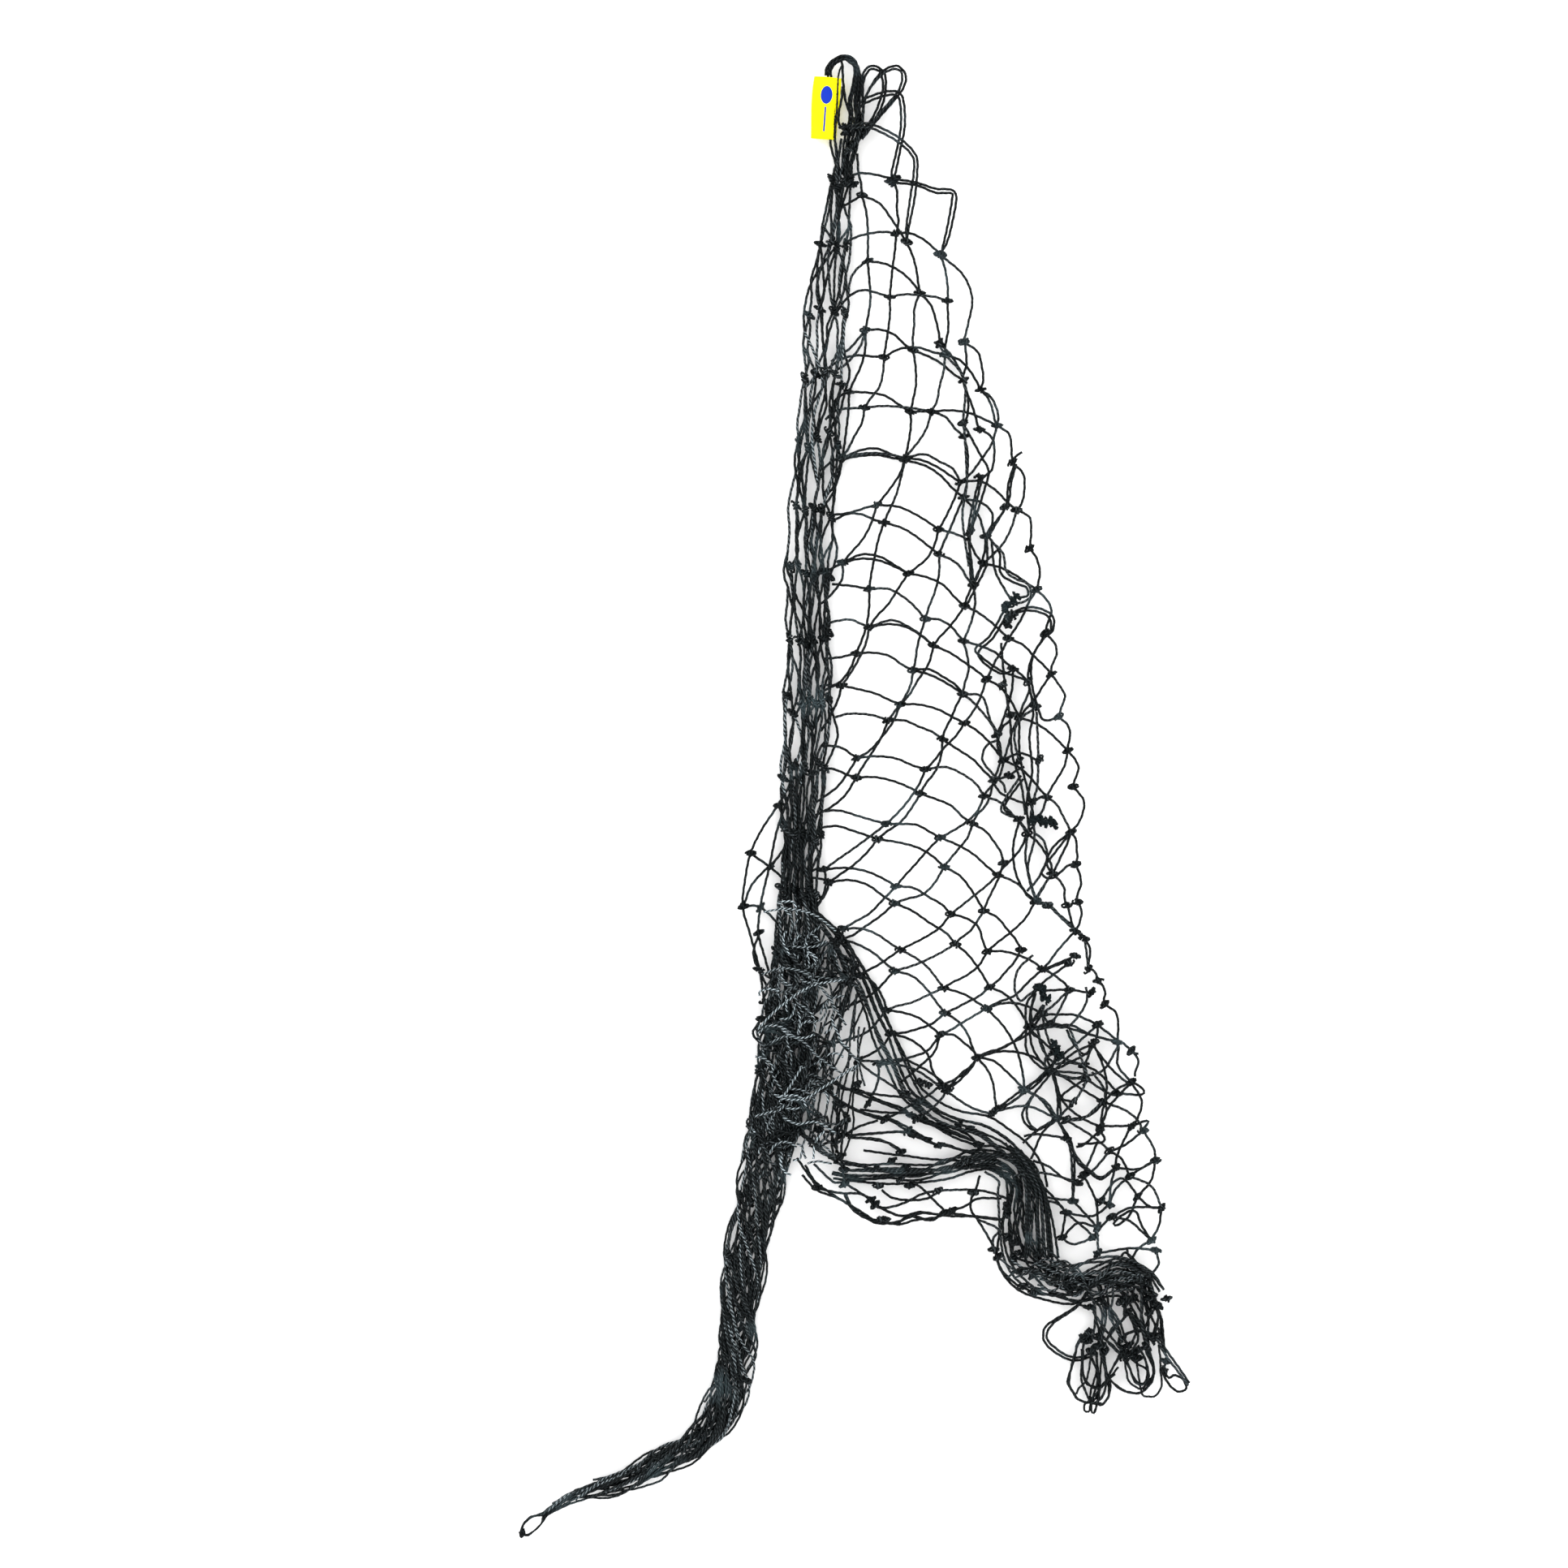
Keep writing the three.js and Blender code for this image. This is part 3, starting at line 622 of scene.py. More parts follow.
FOLD_CHAINS = [
    [
        (53.5, 279), (57, 272), (68.5, 256.5), (68, 230), (69, 222), (70.5, 192.5), (67.8, 171.4),
        (71.8, 142.3),
    ],
    [(68.5, 280), (70, 266), (68.5, 256.5), (74, 240), (78, 226)],
    [
        (78.4, 226.9), (86.3, 219), (86.3, 203), (79.7, 195.2), (77, 184.6), (73.1, 163.5), (71.8, 147.6),
        (73.1, 129.1),
    ],
    [(69.1, 226.9), (78.4, 211), (83.7, 200.5), (81, 189.9), (75.8, 174), (73.1, 163.5)],
    [(67.8, 183.3), (78.4, 182), (86.3, 174), (85, 160.8)],
    [(78.4, 196.5), (75.5, 184), (71.5, 163), (73.5, 145), (75, 129)],
    [
        (99.5, 204.4), (95.6, 192.5), (94.2, 179.3), (89, 170), (83.1, 160.8), (82.4, 143.7),
        (75.8, 129.1), (70.5, 118.6),
    ],
    [(101, 204.4), (97.6, 192.5), (95.6, 181), (87, 166), (84, 160)],
    [(83.7, 159.5), (90.3, 150.3), (91.6, 137), (99.5, 131.8), (106.1, 129.1), (107.5, 123.9), (99.5, 122.5)],
    [
        (85, 157.5), (92.3, 149.3), (94, 139), (100.5, 134), (108, 130.4), (110, 123), (104, 119.5),
        (98.5, 119),
    ],
    [(85, 155.6), (87.6, 139.7), (94.2, 126.5), (96.9, 121.2)],
    [(97.5, 110.5), (104, 114), (112.7, 114.6), (120.7, 110.6), (122, 102.7), (118, 100)],
    [(97, 112.5), (104, 116), (113.5, 116.6), (122.7, 111.6), (123.5, 102), (118, 98.5)],
    [(94.2, 110.6), (86.3, 97.4), (77, 89.5), (81, 82.9), (91.6, 76.3), (99.5, 78.9)],
    [(93.5, 115), (84.5, 99.4), (75.8, 91.5), (77.5, 86.5), (90, 78), (106, 72), (108.8, 68.4)],
    [(119.3, 100), (111.4, 86.9), (110.1, 71), (114, 55.2), (118, 47.2), (127, 49.5)],
    [(118, 98), (109.8, 84.9), (108.4, 72), (112, 56.2), (113, 52.5)],
    [(91.6, 94.8), (94.2, 68.4), (96.9, 47.2), (98.2, 26.1), (103.5, 7.6), (106.1, -10.9)],
    [(99.5, 78.9), (108.8, 68.4), (103.5, 52.5), (102.2, 41.9), (103.5, 23.5), (108.8, -0.3), (111.4, -10.9)],
    [(108.8, 68.4), (111.4, 52.5), (108.8, 36.7), (110.1, 15.5), (107.5, -3), (108.8, -21.5)],
    [(112.7, 52.5), (114, 28.7), (114, 7.6), (111.4, -3), (107.5, -22.5)],
    [
        (67.8, 63.1), (79.7, 61.8), (85, 47.2), (90.3, 36.7), (82.4, 31.4), (79.7, 23.5), (85, 15.5),
        (92.9, 7.6), (94.2, 2.3),
    ],
    [(92.9, 22.1), (89, 31.4), (91.6, 42), (96.9, 47.2)],
    [(102.2, 22.1), (99.5, 36.7), (102.2, 47.2), (112.7, 55.2)],
    [(114, 22.1), (103.5, 26.1), (94.2, 23.5)],
    [(86.3, 10.2), (96.9, 12.9), (99.5, 15.5), (106.1, 18.2)],
    [(103.5, 12.9), (94.2, -0.3), (91.6, -8.2), (102.2, -13.5)],
    [(105, 11.5), (96, -1), (93.5, -7.5), (102.2, -13.5)],
    [(86.3, 10.2), (92, 2), (106, -4), (110.5, -3), (116.7, -0.3)],
    [(102.2, -13.5), (107.5, -21.5), (106.1, -37.3), (109, -50), (113, -64)],
    [(110.5, -12), (112, -26), (108, -44), (113, -64)],
    [(103, -14), (99, -30), (100, -46), (106, -58), (113, -64)],
    [(135, -21), (124, -34), (117, -46), (123, -50), (133, -42), (138, -41.5)],
    [(112, -22), (118, -27), (119, -38), (114, -50), (108, -58)],
    [(123, -47), (120, -40), (124, -30), (134.5, -21.5)],
    [(123, -47), (113, -64), (120, -66.5), (130, -76), (137, -82.5), (142.5, -87), (145, -106)],
    [(111, -97), (102, -106), (100, -118), (103, -125), (107, -123), (114.5, -117)],
    [(137, -97.5), (117, -106), (133.5, -102), (114.5, -117), (133.5, -118.5), (147, -120)],
    [(117, -133), (109, -141.5), (124, -157), (122, -168), (127, -184), (128, -197)],
    [(133.5, -118.5), (122, -139), (117, -133), (124, -157), (142.5, -165), (143, -173)],
    [(113.6, -118.4), (107, -127.8), (106.1, -142.9), (107, -156.1), (114.6, -165.5), (122.1, -168.4)],
    [(111.8, -122), (109, -133.5), (110.8, -144.8), (116, -150), (122, -168)],
    [(113, -120), (110, -132), (113, -141), (124, -139)],
    [(122.1, -158), (118.4, -159.9), (119.3, -165.5), (124, -168.4)],
    [(114.6, -141), (122.1, -139.1), (133.5, -142), (142.9, -144.8), (154.2, -148.6), (163.7, -150.4)],
    [(113, -143), (124, -141.5), (134, -140), (146, -146), (163.7, -150.4)],
    [(109.9, -142.9), (120.3, -141), (131.6, -141), (141, -131.6), (143.8, -124), (142.9, -116.5)],
    [(113.6, -142.9), (116.5, -154.2), (124, -162.7), (131.6, -163.7), (141, -164.6)],
    [(133.5, -142), (139.1, -156.1), (142.9, -167.4), (143.8, -173.1), (139.1, -182.5), (135.4, -188.2)],
    [(148.6, -152.3), (142.9, -158), (135.4, -150.4), (131.6, -142.9)],
    [(148.6, -153.3), (154.2, -165.5), (156.1, -176.9), (155.2, -186.3), (153.3, -195.7), (152.4, -203.3)],
    [(124, -168.4), (135.4, -169.3), (143.8, -170.3), (144.8, -174), (141, -177.8)],
    [(122.1, -169.3), (133.5, -173.1), (142.9, -171.2), (154.2, -167.4), (161.8, -156.1), (163.7, -152.3)],
    [(125.9, -167.4), (142.9, -158), (146.7, -153.3)],
    [(147.6, -152.3), (158, -165.5), (165.5, -173.1), (171.2, -176.9)],
]
fold = Twine()
for chain in FOLD_CHAINS:
    fold.strand(chain, height=rng.uniform(4.2, 7.5), wander=0.3)
FOLD_KNOTS = [
    (53.5, 279), (68.5, 280), (57, 272), (68, 230), (78, 226), (78, 197), (94, 178.5), (72.5, 163),
    (92.5, 69), (108, 71), (112.5, 56), (97.5, 50.5), (102.5, 22), (115, 23), (96.5, 13), (110.5, -3),
    (102.5, -13.5), (113, -64), (120, -66.5), (142.5, -87), (133.5, -102), (137, -97.5), (114.5, -117),
    (147, -120), (117, -133), (124, -157), (122, -168), (122, -139),
]
for place in FOLD_KNOTS:
    fold.knot(place, 5.4)
fold.strand([(98.5, 206), (101, 210), (104.5, 212)], 4)
fold.strand([(171.5, -156), (173, -157.5), (176, -158)], 4)
for place in ((98.2, 112.6), (97, 110.4), (95.8, 108), (95, 105.8)):
    fold.knot(place, 6.5, rng.uniform(-2.2, -0.4), 1.05)

# ---------------------------------------------------------------- the far corner


def tied(run, knots, reach=5.5):
    """A run whose two ends go into the nearest knots within reach."""
    run = list(run)
    for end in (0, -1):
        near = min(knots, key=lambda place: math.dist(place, run[end]))
        if math.dist(near, run[end]) < reach:
            run[end] = near
    return run


CORNER_RUNS = [
    [(85, -190.4), (105.5, -179.7), (119.8, -170)],
    [(91.3, -190.4), (107.3, -190.4), (125.2, -197.6)],
    [(107.3, -180.6), (118.9, -186.9), (125.2, -197.6)],
    [(123.4, -170.8), (126, -185), (127.9, -196.7)],
    [(118.9, -170.8), (110.9, -184.2), (105, -194), (106.4, -201), (113.6, -205.2), (123.4, -198.5)],
    [(112, -182), (107.5, -192), (108.5, -200), (113.6, -205)],
    [(105.5, -208.3), (114.5, -207.4), (128.8, -210.5)],
    [(104.6, -212.8), (114.5, -204.7), (123.4, -198.5)],
    [(110, -222.6), (117, -206.5), (123.4, -199.4)],
    [(110.9, -223.5), (120.7, -227), (129.6, -234.2), (138.6, -237.8)],
    [(98.4, -232.8), (114.5, -231), (127.9, -233.3), (138.6, -237.8)],
    [(127.9, -200.3), (135, -213.6), (136.8, -231.5), (135.9, -246.7)],
    [(126.9, -200.3), (133.5, -215), (135.3, -231.5), (137.4, -246.7)],
    [(135, -215.4), (138.6, -224.4), (145.7, -230.6), (152.9, -235), (160, -231.5)],
    [(135, -213.4), (139.6, -222.9), (146.7, -229.6), (152.9, -233.8), (160, -230.5)],
    [(134, -199.4), (145.7, -207.4), (152.9, -212.8), (158.2, -217.7)],
    [(133.2, -199), (142, -197.6), (153.8, -187.8)],
    [(128.8, -195.8), (137.7, -187.8)],
    [(143, -174.4), (130.5, -182.4), (129.6, -186), (135, -187.8)],
    [(124.3, -171.7), (129.6, -186.9), (140.4, -196.7), (152.4, -203)],
    [(129.6, -171.7), (142, -180.6), (151, -186.9)],
    [(147.5, -169), (154.6, -179.7), (155.5, -186.9), (156.4, -194), (153.8, -200.3)],
    [(145.7, -175.3), (158.2, -182.4), (161.8, -182.8)],
    [(167, -182.4), (177.9, -183.3), (178.8, -179.7), (174.3, -177)],
    [(167, -174.4), (160.9, -180.6), (154.6, -187.8), (145.7, -195.8), (134, -199.4)],
    [(169, -178.8), (159, -188.6), (155.5, -195.8), (153.8, -200.3)],
    [(175.2, -176), (177.9, -186.9), (175.2, -197.6), (172.5, -202)],
    [(155.5, -187.8), (167, -192.2), (175.2, -198.5), (178.8, -204.7)],
    [(172.5, -200.3), (182.3, -199), (180.5, -204.7)],
    [(156.4, -201.6), (170.7, -203.4)],
    [(181.4, -207.4), (185, -215.4), (187.7, -222.6)],
    [(177.9, -207.4), (168, -213.6), (160, -217.2)],
    [(169.8, -207.4), (163.6, -219), (161.8, -226)],
    [(160.9, -218), (165.4, -222.6), (170.7, -232.4)],
    [(164.5, -228), (176, -228.8), (185.9, -224.4)],
    [(189.5, -224.8), (174.3, -231.5)],
    [(186.8, -226), (184, -236), (176, -244)],
    [(174.3, -235), (184, -239.5), (190.4, -251)],
    [(158.2, -219), (149.3, -228.8), (142, -235), (138.6, -237.8)],
    [(152, -207.4), (143, -213.6), (137.7, -215.4)],
    [(155.5, -206.5), (154.6, -212), (138.6, -213.6)],
    [(151, -211.9), (146.6, -222.6), (143, -230.6)],
    [(142, -235), (147.5, -243), (150.2, -251), (151.5, -263.6)],
    [(161.8, -231.5), (159, -238.6), (156.4, -250)],
    [(159, -249.4), (162.7, -241.3), (169, -235)],
    [(154.6, -244), (160.9, -236.9), (166.3, -235), (170.7, -238.6), (175.2, -244.9)],
    [(174.3, -247.6), (183.2, -252), (190.4, -253.8)],
    [(160.9, -256.5), (169.8, -253), (181.4, -252), (190.4, -253.8)],
    [
        (174.3, -248.5), (170.7, -257.4), (163.6, -263.6), (160.9, -262.8), (163.6, -259.2), (170.7, -254.7),
        (175.2, -255.6), (177.9, -263.6), (184, -271.7),
    ],
    [(161.8, -258.3), (170.7, -261), (178.8, -268), (184, -273.5)],
    [(189.5, -254.7), (188.6, -263.6), (185.9, -270.8)],
    [(153.8, -280.6), (170.7, -277.5), (181.4, -278)],
    [(187.7, -281.5), (188.6, -287.8), (184, -292.2)],
    [(168.9, -291.3), (175.2, -278.8), (182.3, -274.4)],
    [(168.9, -278), (170.7, -283.3), (179.6, -293)],
    [(165.4, -286.9), (165.8, -282.4), (169.8, -281.5), (179.6, -293)],
    [(133.2, -256.5), (147.5, -257.8), (155.5, -252.5)],
    [(134, -255.6), (143, -265.4), (148.4, -270.8)],
    [(115.4, -245.8), (125.2, -247.6), (135, -246.7)],
    [(116.3, -247.6), (127, -250.3), (131.4, -254.7)],
    [(115.4, -237.8), (124.3, -246.7), (131.4, -255.6)],
    [(133.2, -256.5), (129.6, -269)],
    [(129.6, -269), (138.6, -261.9), (149.3, -261.9)],
    [(137.7, -249.4), (146.6, -260), (150.6, -263.6)],
    [(150.2, -269.9), (155.5, -261.9), (159, -259.2)],
    [(151.5, -262.8), (151.5, -279.7)],
    [(129.6, -271.5), (135, -275.2), (142, -273.5), (148.4, -270.8)],
    [(109, -141.5), (118, -128), (117, -133)],
    [(142.5, -165), (143, -173)],
    [(148.5, -150.5), (142.5, -165)],
    [(151, -140), (163, -151), (163.5, -165), (171.6, -175.3)],
    [(142.5, -165), (152, -170), (163.6, -182.4)],
    [(151, -140), (148.5, -150.5), (135, -158), (124, -169)],
    [(122, -168), (132, -172), (143, -173)],
]
CORNER_KNOTS = [
    (123.4, -169), (143.5, -173.5), (105.5, -179.7), (87.7, -193), (171.6, -175.3), (163.6, -182.4),
    (153.8, -187.3), (135.9, -187.8), (126, -198), (131.4, -198.5), (152.4, -203), (152.4, -205),
    (172, -202.5), (178.8, -205.2), (131.4, -210), (158.2, -217.7), (186.8, -223.5), (161.8, -228),
    (170.7, -233.3), (142, -232.4), (138.6, -237.3), (135.9, -248.5), (131.4, -255.6), (152.9, -248.5),
    (158.2, -250.7), (175.6, -245.8), (190.4, -253), (159.6, -258.3), (150.6, -264.5), (148.4, -270.8),
    (128.8, -270.8), (151, -280.6), (184, -272.6), (186.8, -278.8), (182.3, -295), (151, -140),
    (142.5, -165), (148.5, -150.5),
]
corner = Twine()
for run in CORNER_RUNS:
    corner.strand(tied(run, CORNER_KNOTS), height=rng.uniform(1.2, 6), wander=0.15)
for place in CORNER_KNOTS:
    corner.knot(place, rng.uniform(2.4, 4.5))

# ---------------------------------------------------------------- the swag along the bottom

SWAG_RUNS = [
    [
        (-31, -232.5), (-21.7, -241), (-9, -247), (4, -254), (13.5, -259.6), (20, -261), (28.8, -262.3),
        (38.5, -260), (52.6, -258), (61.3, -254), (70, -251), (77.6, -247), (91.7, -246.6),
    ],
    [
        (-21, -241), (-7, -243.4), (2.7, -244), (10.3, -246.6), (15.7, -252), (24.4, -251.5), (33, -248.8),
        (41.8, -244.4), (49.4, -242.3), (57, -241.2), (74.3, -241.2), (85, -243.4), (95, -246.6),
    ],
    [
        (-3.8, -244.4), (-0.5, -252), (7, -257.5), (15.7, -261.8), (26.6, -261.8), (33, -258.5),
        (41.8, -255.8), (52.6, -256.4), (63.5, -256.4), (77.6, -258.5), (91.7, -259.6),
    ],
    [(15.7, -251), (20, -254.2), (28.8, -257), (35.3, -257.5), (47.2, -260.2), (52.6, -258.5)],
    [(18, -241.2), (24.4, -245.5), (33, -247.7), (45, -247.2), (52.6, -243.4)],
    [(35.3, -234.7), (44, -241.2), (50.4, -247.7), (57, -254.2)],
    [
        (78.6, -232.5), (75.4, -242.3), (72.7, -246.6), (73.2, -254.2), (76.5, -258.5), (83, -269.4),
        (87.3, -278), (90, -285.7), (92.7, -292.2), (100.3, -298.7), (106.8, -303), (111.2, -305.2),
        (119, -305.5), (126, -306.5), (133, -309), (140, -312.2), (145, -313.6), (148.5, -315.7),
        (150.6, -324), (154, -336.7),
    ],
    [(76.5, -259.6), (89.5, -265.6), (86.2, -271.6), (86.8, -278)],
    [
        (-3.8, -208), (15.7, -206.5), (29.8, -206), (37.4, -208), (49.4, -213), (58, -214), (70, -217.3),
        (85.2, -219.5), (100.3, -219.5),
    ],
    [(-2.7, -209.7), (13.6, -210.3), (22.2, -213), (29.8, -218.4)],
    [
        (7, -217.3), (24.4, -219.5), (33, -220.6), (47.2, -223.3), (63.5, -223.8), (74.3, -223.8),
        (90.6, -219.5),
    ],
    [(-4.9, -229.3), (15.7, -229.3), (31, -229.3), (47.2, -229.3), (59, -229.3), (69, -225), (90, -224)],
    [
        (-4.9, -235.8), (11.4, -235.2), (24.4, -234.7), (35.3, -235.8), (47.2, -234.7), (58, -230.3),
        (69, -227), (88, -226),
    ],
    [
        (5, -192.4), (20, -194), (31, -194.6), (37.4, -195.6), (49.4, -200), (63.5, -204.3), (73.2, -209.7),
        (77.6, -214), (90.6, -215.2), (100.3, -219.5),
    ],
    [(-16, -174), (-8, -178), (1.6, -180.5), (20, -183.2), (33, -184.3), (40, -187), (52, -193), (66, -199)],
    [
        (-14, -171), (-6, -178), (1.6, -181.5), (15.7, -187), (31, -192.4), (37.4, -195.6), (52, -202),
        (66, -208), (80, -214),
    ],
    [(-18, -179.4), (-7, -187), (5, -193.5), (18, -197.3), (24.4, -199), (37.4, -205.4), (49.4, -213)],
    [(3.8, -162), (20, -163), (37.4, -166.4), (49.4, -175), (58, -181.5), (72, -190.2), (85, -194.6)],
    [(-18, -214), (-5, -208), (3.8, -203), (15.7, -198.4)],
    [(-10, -148), (1, -160), (10, -168), (22, -176), (33, -183), (46, -191)],
]
# Strands that come down the shoulder of the swag and run on into the turn at its far end.
SHOULDER_RUN = [
    (-22, -72), (-8, -88), (2, -104), (9, -116), (15, -131), (21, -146), (28, -163), (36, -180), (44, -189),
    (55, -197), (66, -202), (80, -206), (92, -214), (101, -221), (108, -231), (111, -243),
]
# The middle band, the turn down at the far end and the turn back to the right.
BAND_RUN = [
    (-12, -232), (6, -232), (24, -233), (42, -233), (58, -229), (72, -225), (86, -224), (98, -229),
    (104, -239), (106, -252), (107, -266), (109, -279), (116, -289), (128, -295), (141, -298), (154, -297),
    (166, -297), (178, -303),
]
TURN_RUN = [
    (84, -224), (96, -230), (100, -241), (99, -254), (98, -268), (101, -282), (109, -292), (121, -298),
    (135, -300), (150, -294), (164, -290), (178, -297), (184, -307),
]
SWAG_KNOTS = [
    (41.8, -175), (46, -177), (55.9, -178.3), (58, -180.5), (33, -182.6), (40.7, -187), (19, -163),
    (3.8, -162), (-7, -189), (2.7, -176.7), (-19, -180), (20, -197.8), (36.3, -195.6), (39.6, -197.8),
    (34.2, -205.4), (37.4, -207.6), (-6, -207.6), (53.7, -214), (77.6, -214), (86.2, -194.6), (90, -191.3),
    (29.8, -218.4), (24.4, -223.8), (33, -228), (14.7, -228), (-4.9, -229), (-7, -220.6), (69, -223.8),
    (72, -227), (15.7, -239), (35.3, -239), (29.8, -234.7), (-4.9, -238), (52.6, -242.3), (74.3, -243.4),
    (11.4, -247.7), (14, -250.4), (-21.7, -240), (57, -255.3), (61.3, -254.2), (16.8, -259.6),
    (20, -259.6), (86.8, -278), (89.5, -282.4), (95, -257.5), (108, -279), (114.4, -280.2),
    (104.7, -300.8), (111.2, -304.6), (65, -202), (73, -204),
]


def spread(twine, run, count, half, tall, wander, pale_and_glint=0.0):
    """Strands side by side along a run, each keeping its place in the width and wandering in it."""
    run = np.array(run, float)
    ahead = np.gradient(run, axis=0)
    across = np.column_stack([-ahead[:, 1], ahead[:, 0]]) / np.linalg.norm(ahead, axis=1)[:, None]
    half = np.interp(np.linspace(0, 1, len(run)), np.linspace(0, 1, len(half)), half)
    for lane in range(count):
        share = (2 * lane + 1) / count - 1 + rng.normal(0, 0.1)
        drift = np.cumsum(rng.normal(0, wander, len(run)))
        shares = np.clip(share + drift - drift.mean(), -1.1, 1.1)
        height = np.clip(tall * 0.5 + np.cumsum(rng.normal(0, tall * 0.18, len(run))), 0.8, tall)
        points = run + across * (half * shares)[:, None]
        twine.strand(np.column_stack([points, height]), wander=0.3, pale_and_glint=pale_and_glint + max(0, rng.normal(0, 0.05)))


swag = Twine()
for run in (
    [(-34, -222), (-28, -231), (-21.7, -240)], [(-26, -214), (-14, -222), (-4.9, -229)],
    [(-22, -206), (-14, -206), (-6, -207.6)], [(-24, -226), (-12, -236), (-4.9, -238), (11, -247)],
    [
        (-16, -196), (-12, -210), (-4.9, -229)], [(-12, -186), (-8, -200), (-6, -207.6), (-7, -220.6),
        (-4.9, -238),
    ],
    [(-30, -226), (-24, -236), (-14, -243), (4, -254)],
):
    swag.strand(run, height=rng.uniform(2, 7), wander=0.4)
for run in SWAG_RUNS:
    swag.strand(run, height=rng.uniform(1.2, 7), wander=0.3)
    if rng.random() < 0.45:
        swag.strand(np.array(run) + rng.normal(0, 1.0, (len(run), 2)), height=rng.uniform(1, 6), wander=0.3)
spread(swag, SHOULDER_RUN, 7, (3, 7, 7, 8, 7, 6, 8, 9, 9, 8), 7, 0.12)
spread(swag, BAND_RUN, 6, (9, 8, 7, 7, 7, 8, 10, 11, 11, 10, 8), 8, 0.3)
spread(swag, TURN_RUN, 7, (6, 9, 12, 13, 12, 11, 9, 8), 9, 0.3, pale_and_glint=0.05)
# Short strands that lie loose along the bottom edge of the turn.
for _ in range(12):
    run = [(rng.uniform(90, 122), rng.uniform(-300, -282))]
    while run[-1][0] < 172 and len(run) < 7:
        x = run[-1][0]
        right = x + rng.uniform(9, 16)
        run.append((right, np.interp(x, [90, 130, 160, 185], [-290, -299, -294, -301]) + rng.normal(0, 5)))
    swag.strand(run, height=rng.uniform(2, 10), pale_and_glint=max(0, rng.normal(0.15, 0.25)), thickness=HEAP_TWINE)

swag.knot((9.6, -188.5), 5, 0.3)
for place in SWAG_KNOTS:
    swag.knot(place, rng.uniform(3, 7), rng.uniform(-0.7, 0.3))
for _ in range(26):
    spot = rng.uniform(0, len(TURN_RUN) - 1.01)
    index = int(spot)
    a, b = np.array(TURN_RUN[index], float), np.array(TURN_RUN[index + 1], float)
    swag.knot(a + (b - a) * (spot - index) + rng.normal(0, 4.5, 2), rng.uniform(2, 9), rng.uniform(-1.8, 0.3))
# Strands that fan out as they come down the turn.
for _ in range(17):
    fan = rng.uniform(0, 1)
    swag.strand(
        [
            (94 + 10 * fan, -213 - 5 * fan), (100 + 11 * fan, -223 - 4 * fan), (104 + 15 * fan, -241),
            (102 + 21 * fan, -260), (97 + 29 * fan, -283),
        ],
        height=rng.uniform(1, 8), wander=0.5,
    )

# ---------------------------------------------------------------- heap and inner fold

heap = Twine()


def heap_limits(y):
    """Left and right edge of the heap at a height on the net."""
    left = np.interp(-y, [66, 90, 120, 150, 190, 232], [-44, -50, -55, -57, -60, -58])
    right = np.interp(-y, [66, 75, 95, 113, 130, 160, 190, 232], [-24, -14, -2, 6, 9, 8, 4, -12])
    return left, right


def curl(length, start, heading, bend, height, pale_and_glint):
    """A short free-lying run of twine that curves one way and back."""
    points = [np.array(start, float)]
    turn = rng.normal(0, bend)
    for _ in range(4):
        heading += turn + rng.normal(0, bend * 0.5)
        points.append(points[-1] + length / 4 * np.array([math.cos(heading), math.sin(heading)]))
    points = np.array(points)
    for point in points:
        left, right = heap_limits(point[1])
        point[0] = np.clip(point[0], left - 2, right + 2)
    points[:, 1] = np.clip(points[:, 1], -236, -64)
    heap.strand(points, height=height, pale_and_glint=pale_and_glint, thickness=HEAP_TWINE)


# Short curls, most of them painted pale with a strong painted highlight, standing for light falling on the
# heap.
for _ in range(80):
    y = rng.uniform(-226, -72)
    left, right = heap_limits(y)
    x = left + 4 + (right - left - 4) * rng.beta(1.3, 2.6)
    length, heading = rng.uniform(12, 26), rng.uniform(0, math.tau)
    curl(length, (x, y), heading, 0.45, rng.uniform(3, 16), max(0.0, rng.normal(0.75, 0.45)))
for _ in range(44):
    y = rng.uniform(-200, -100)
    left, right = heap_limits(y)
    x = rng.uniform(-26, right)
    lean = rng.normal(-1.9, 0.16)
    curl(rng.uniform(30, 54), (x, y + 18), lean, 0.07, rng.uniform(1, 9), max(0.0, rng.normal(0.05, 0.1)))
heap_knots = []
for _ in range(36):
    y = rng.uniform(-222, -74)
    left, right = heap_limits(y)
    heap_knots.append((rng.uniform(left, right), y))
for place in heap_knots:
    heap.knot(place, rng.uniform(3, 13), rng.uniform(-1.8, 0.5), pale_and_glint=max(0.0, rng.normal(0.05, 0.1)))
    near = sorted((math.dist(place, other), other) for other in heap_knots)
    for distance, other in near[3:6]:
        if 14 < distance < 42:
            bow, heights = rng.normal(0, 0.2), (rng.uniform(3, 14), rng.uniform(3, 14))
            heap.bar(place, other, bow, heights, pale_and_glint=max(0.0, rng.normal(0.05, 0.15)))
# Strands on top of the heap, painted paler with the strongest painted highlight, as they catch the most
# light.
for run in (
    [(-48, -182), (-42, -185), (-30, -184), (-18, -176), (2, -164)],
    [(-43, -196), (-34, -199), (-22, -199), (-10, -205)],
    [(-58, -142), (-44, -128), (-26, -116), (-6, -112)],
    [(-55, -70), (-40, -69), (-24, -71), (-10, -81)],
    [(-50, -150), (-40, -146), (-30, -150), (-22, -158), (-6, -170)],
    [(-56, -108), (-44, -104), (-30, -108), (-18, -118), (-4, -140)],
):
    heap.strand(run, height=rng.uniform(15, 17), pale_and_glint=rng.uniform(0.5, 1.0), wander=0.4, thickness=HEAP_TWINE)

# ---------------------------------------------------------------- the bulge on the left

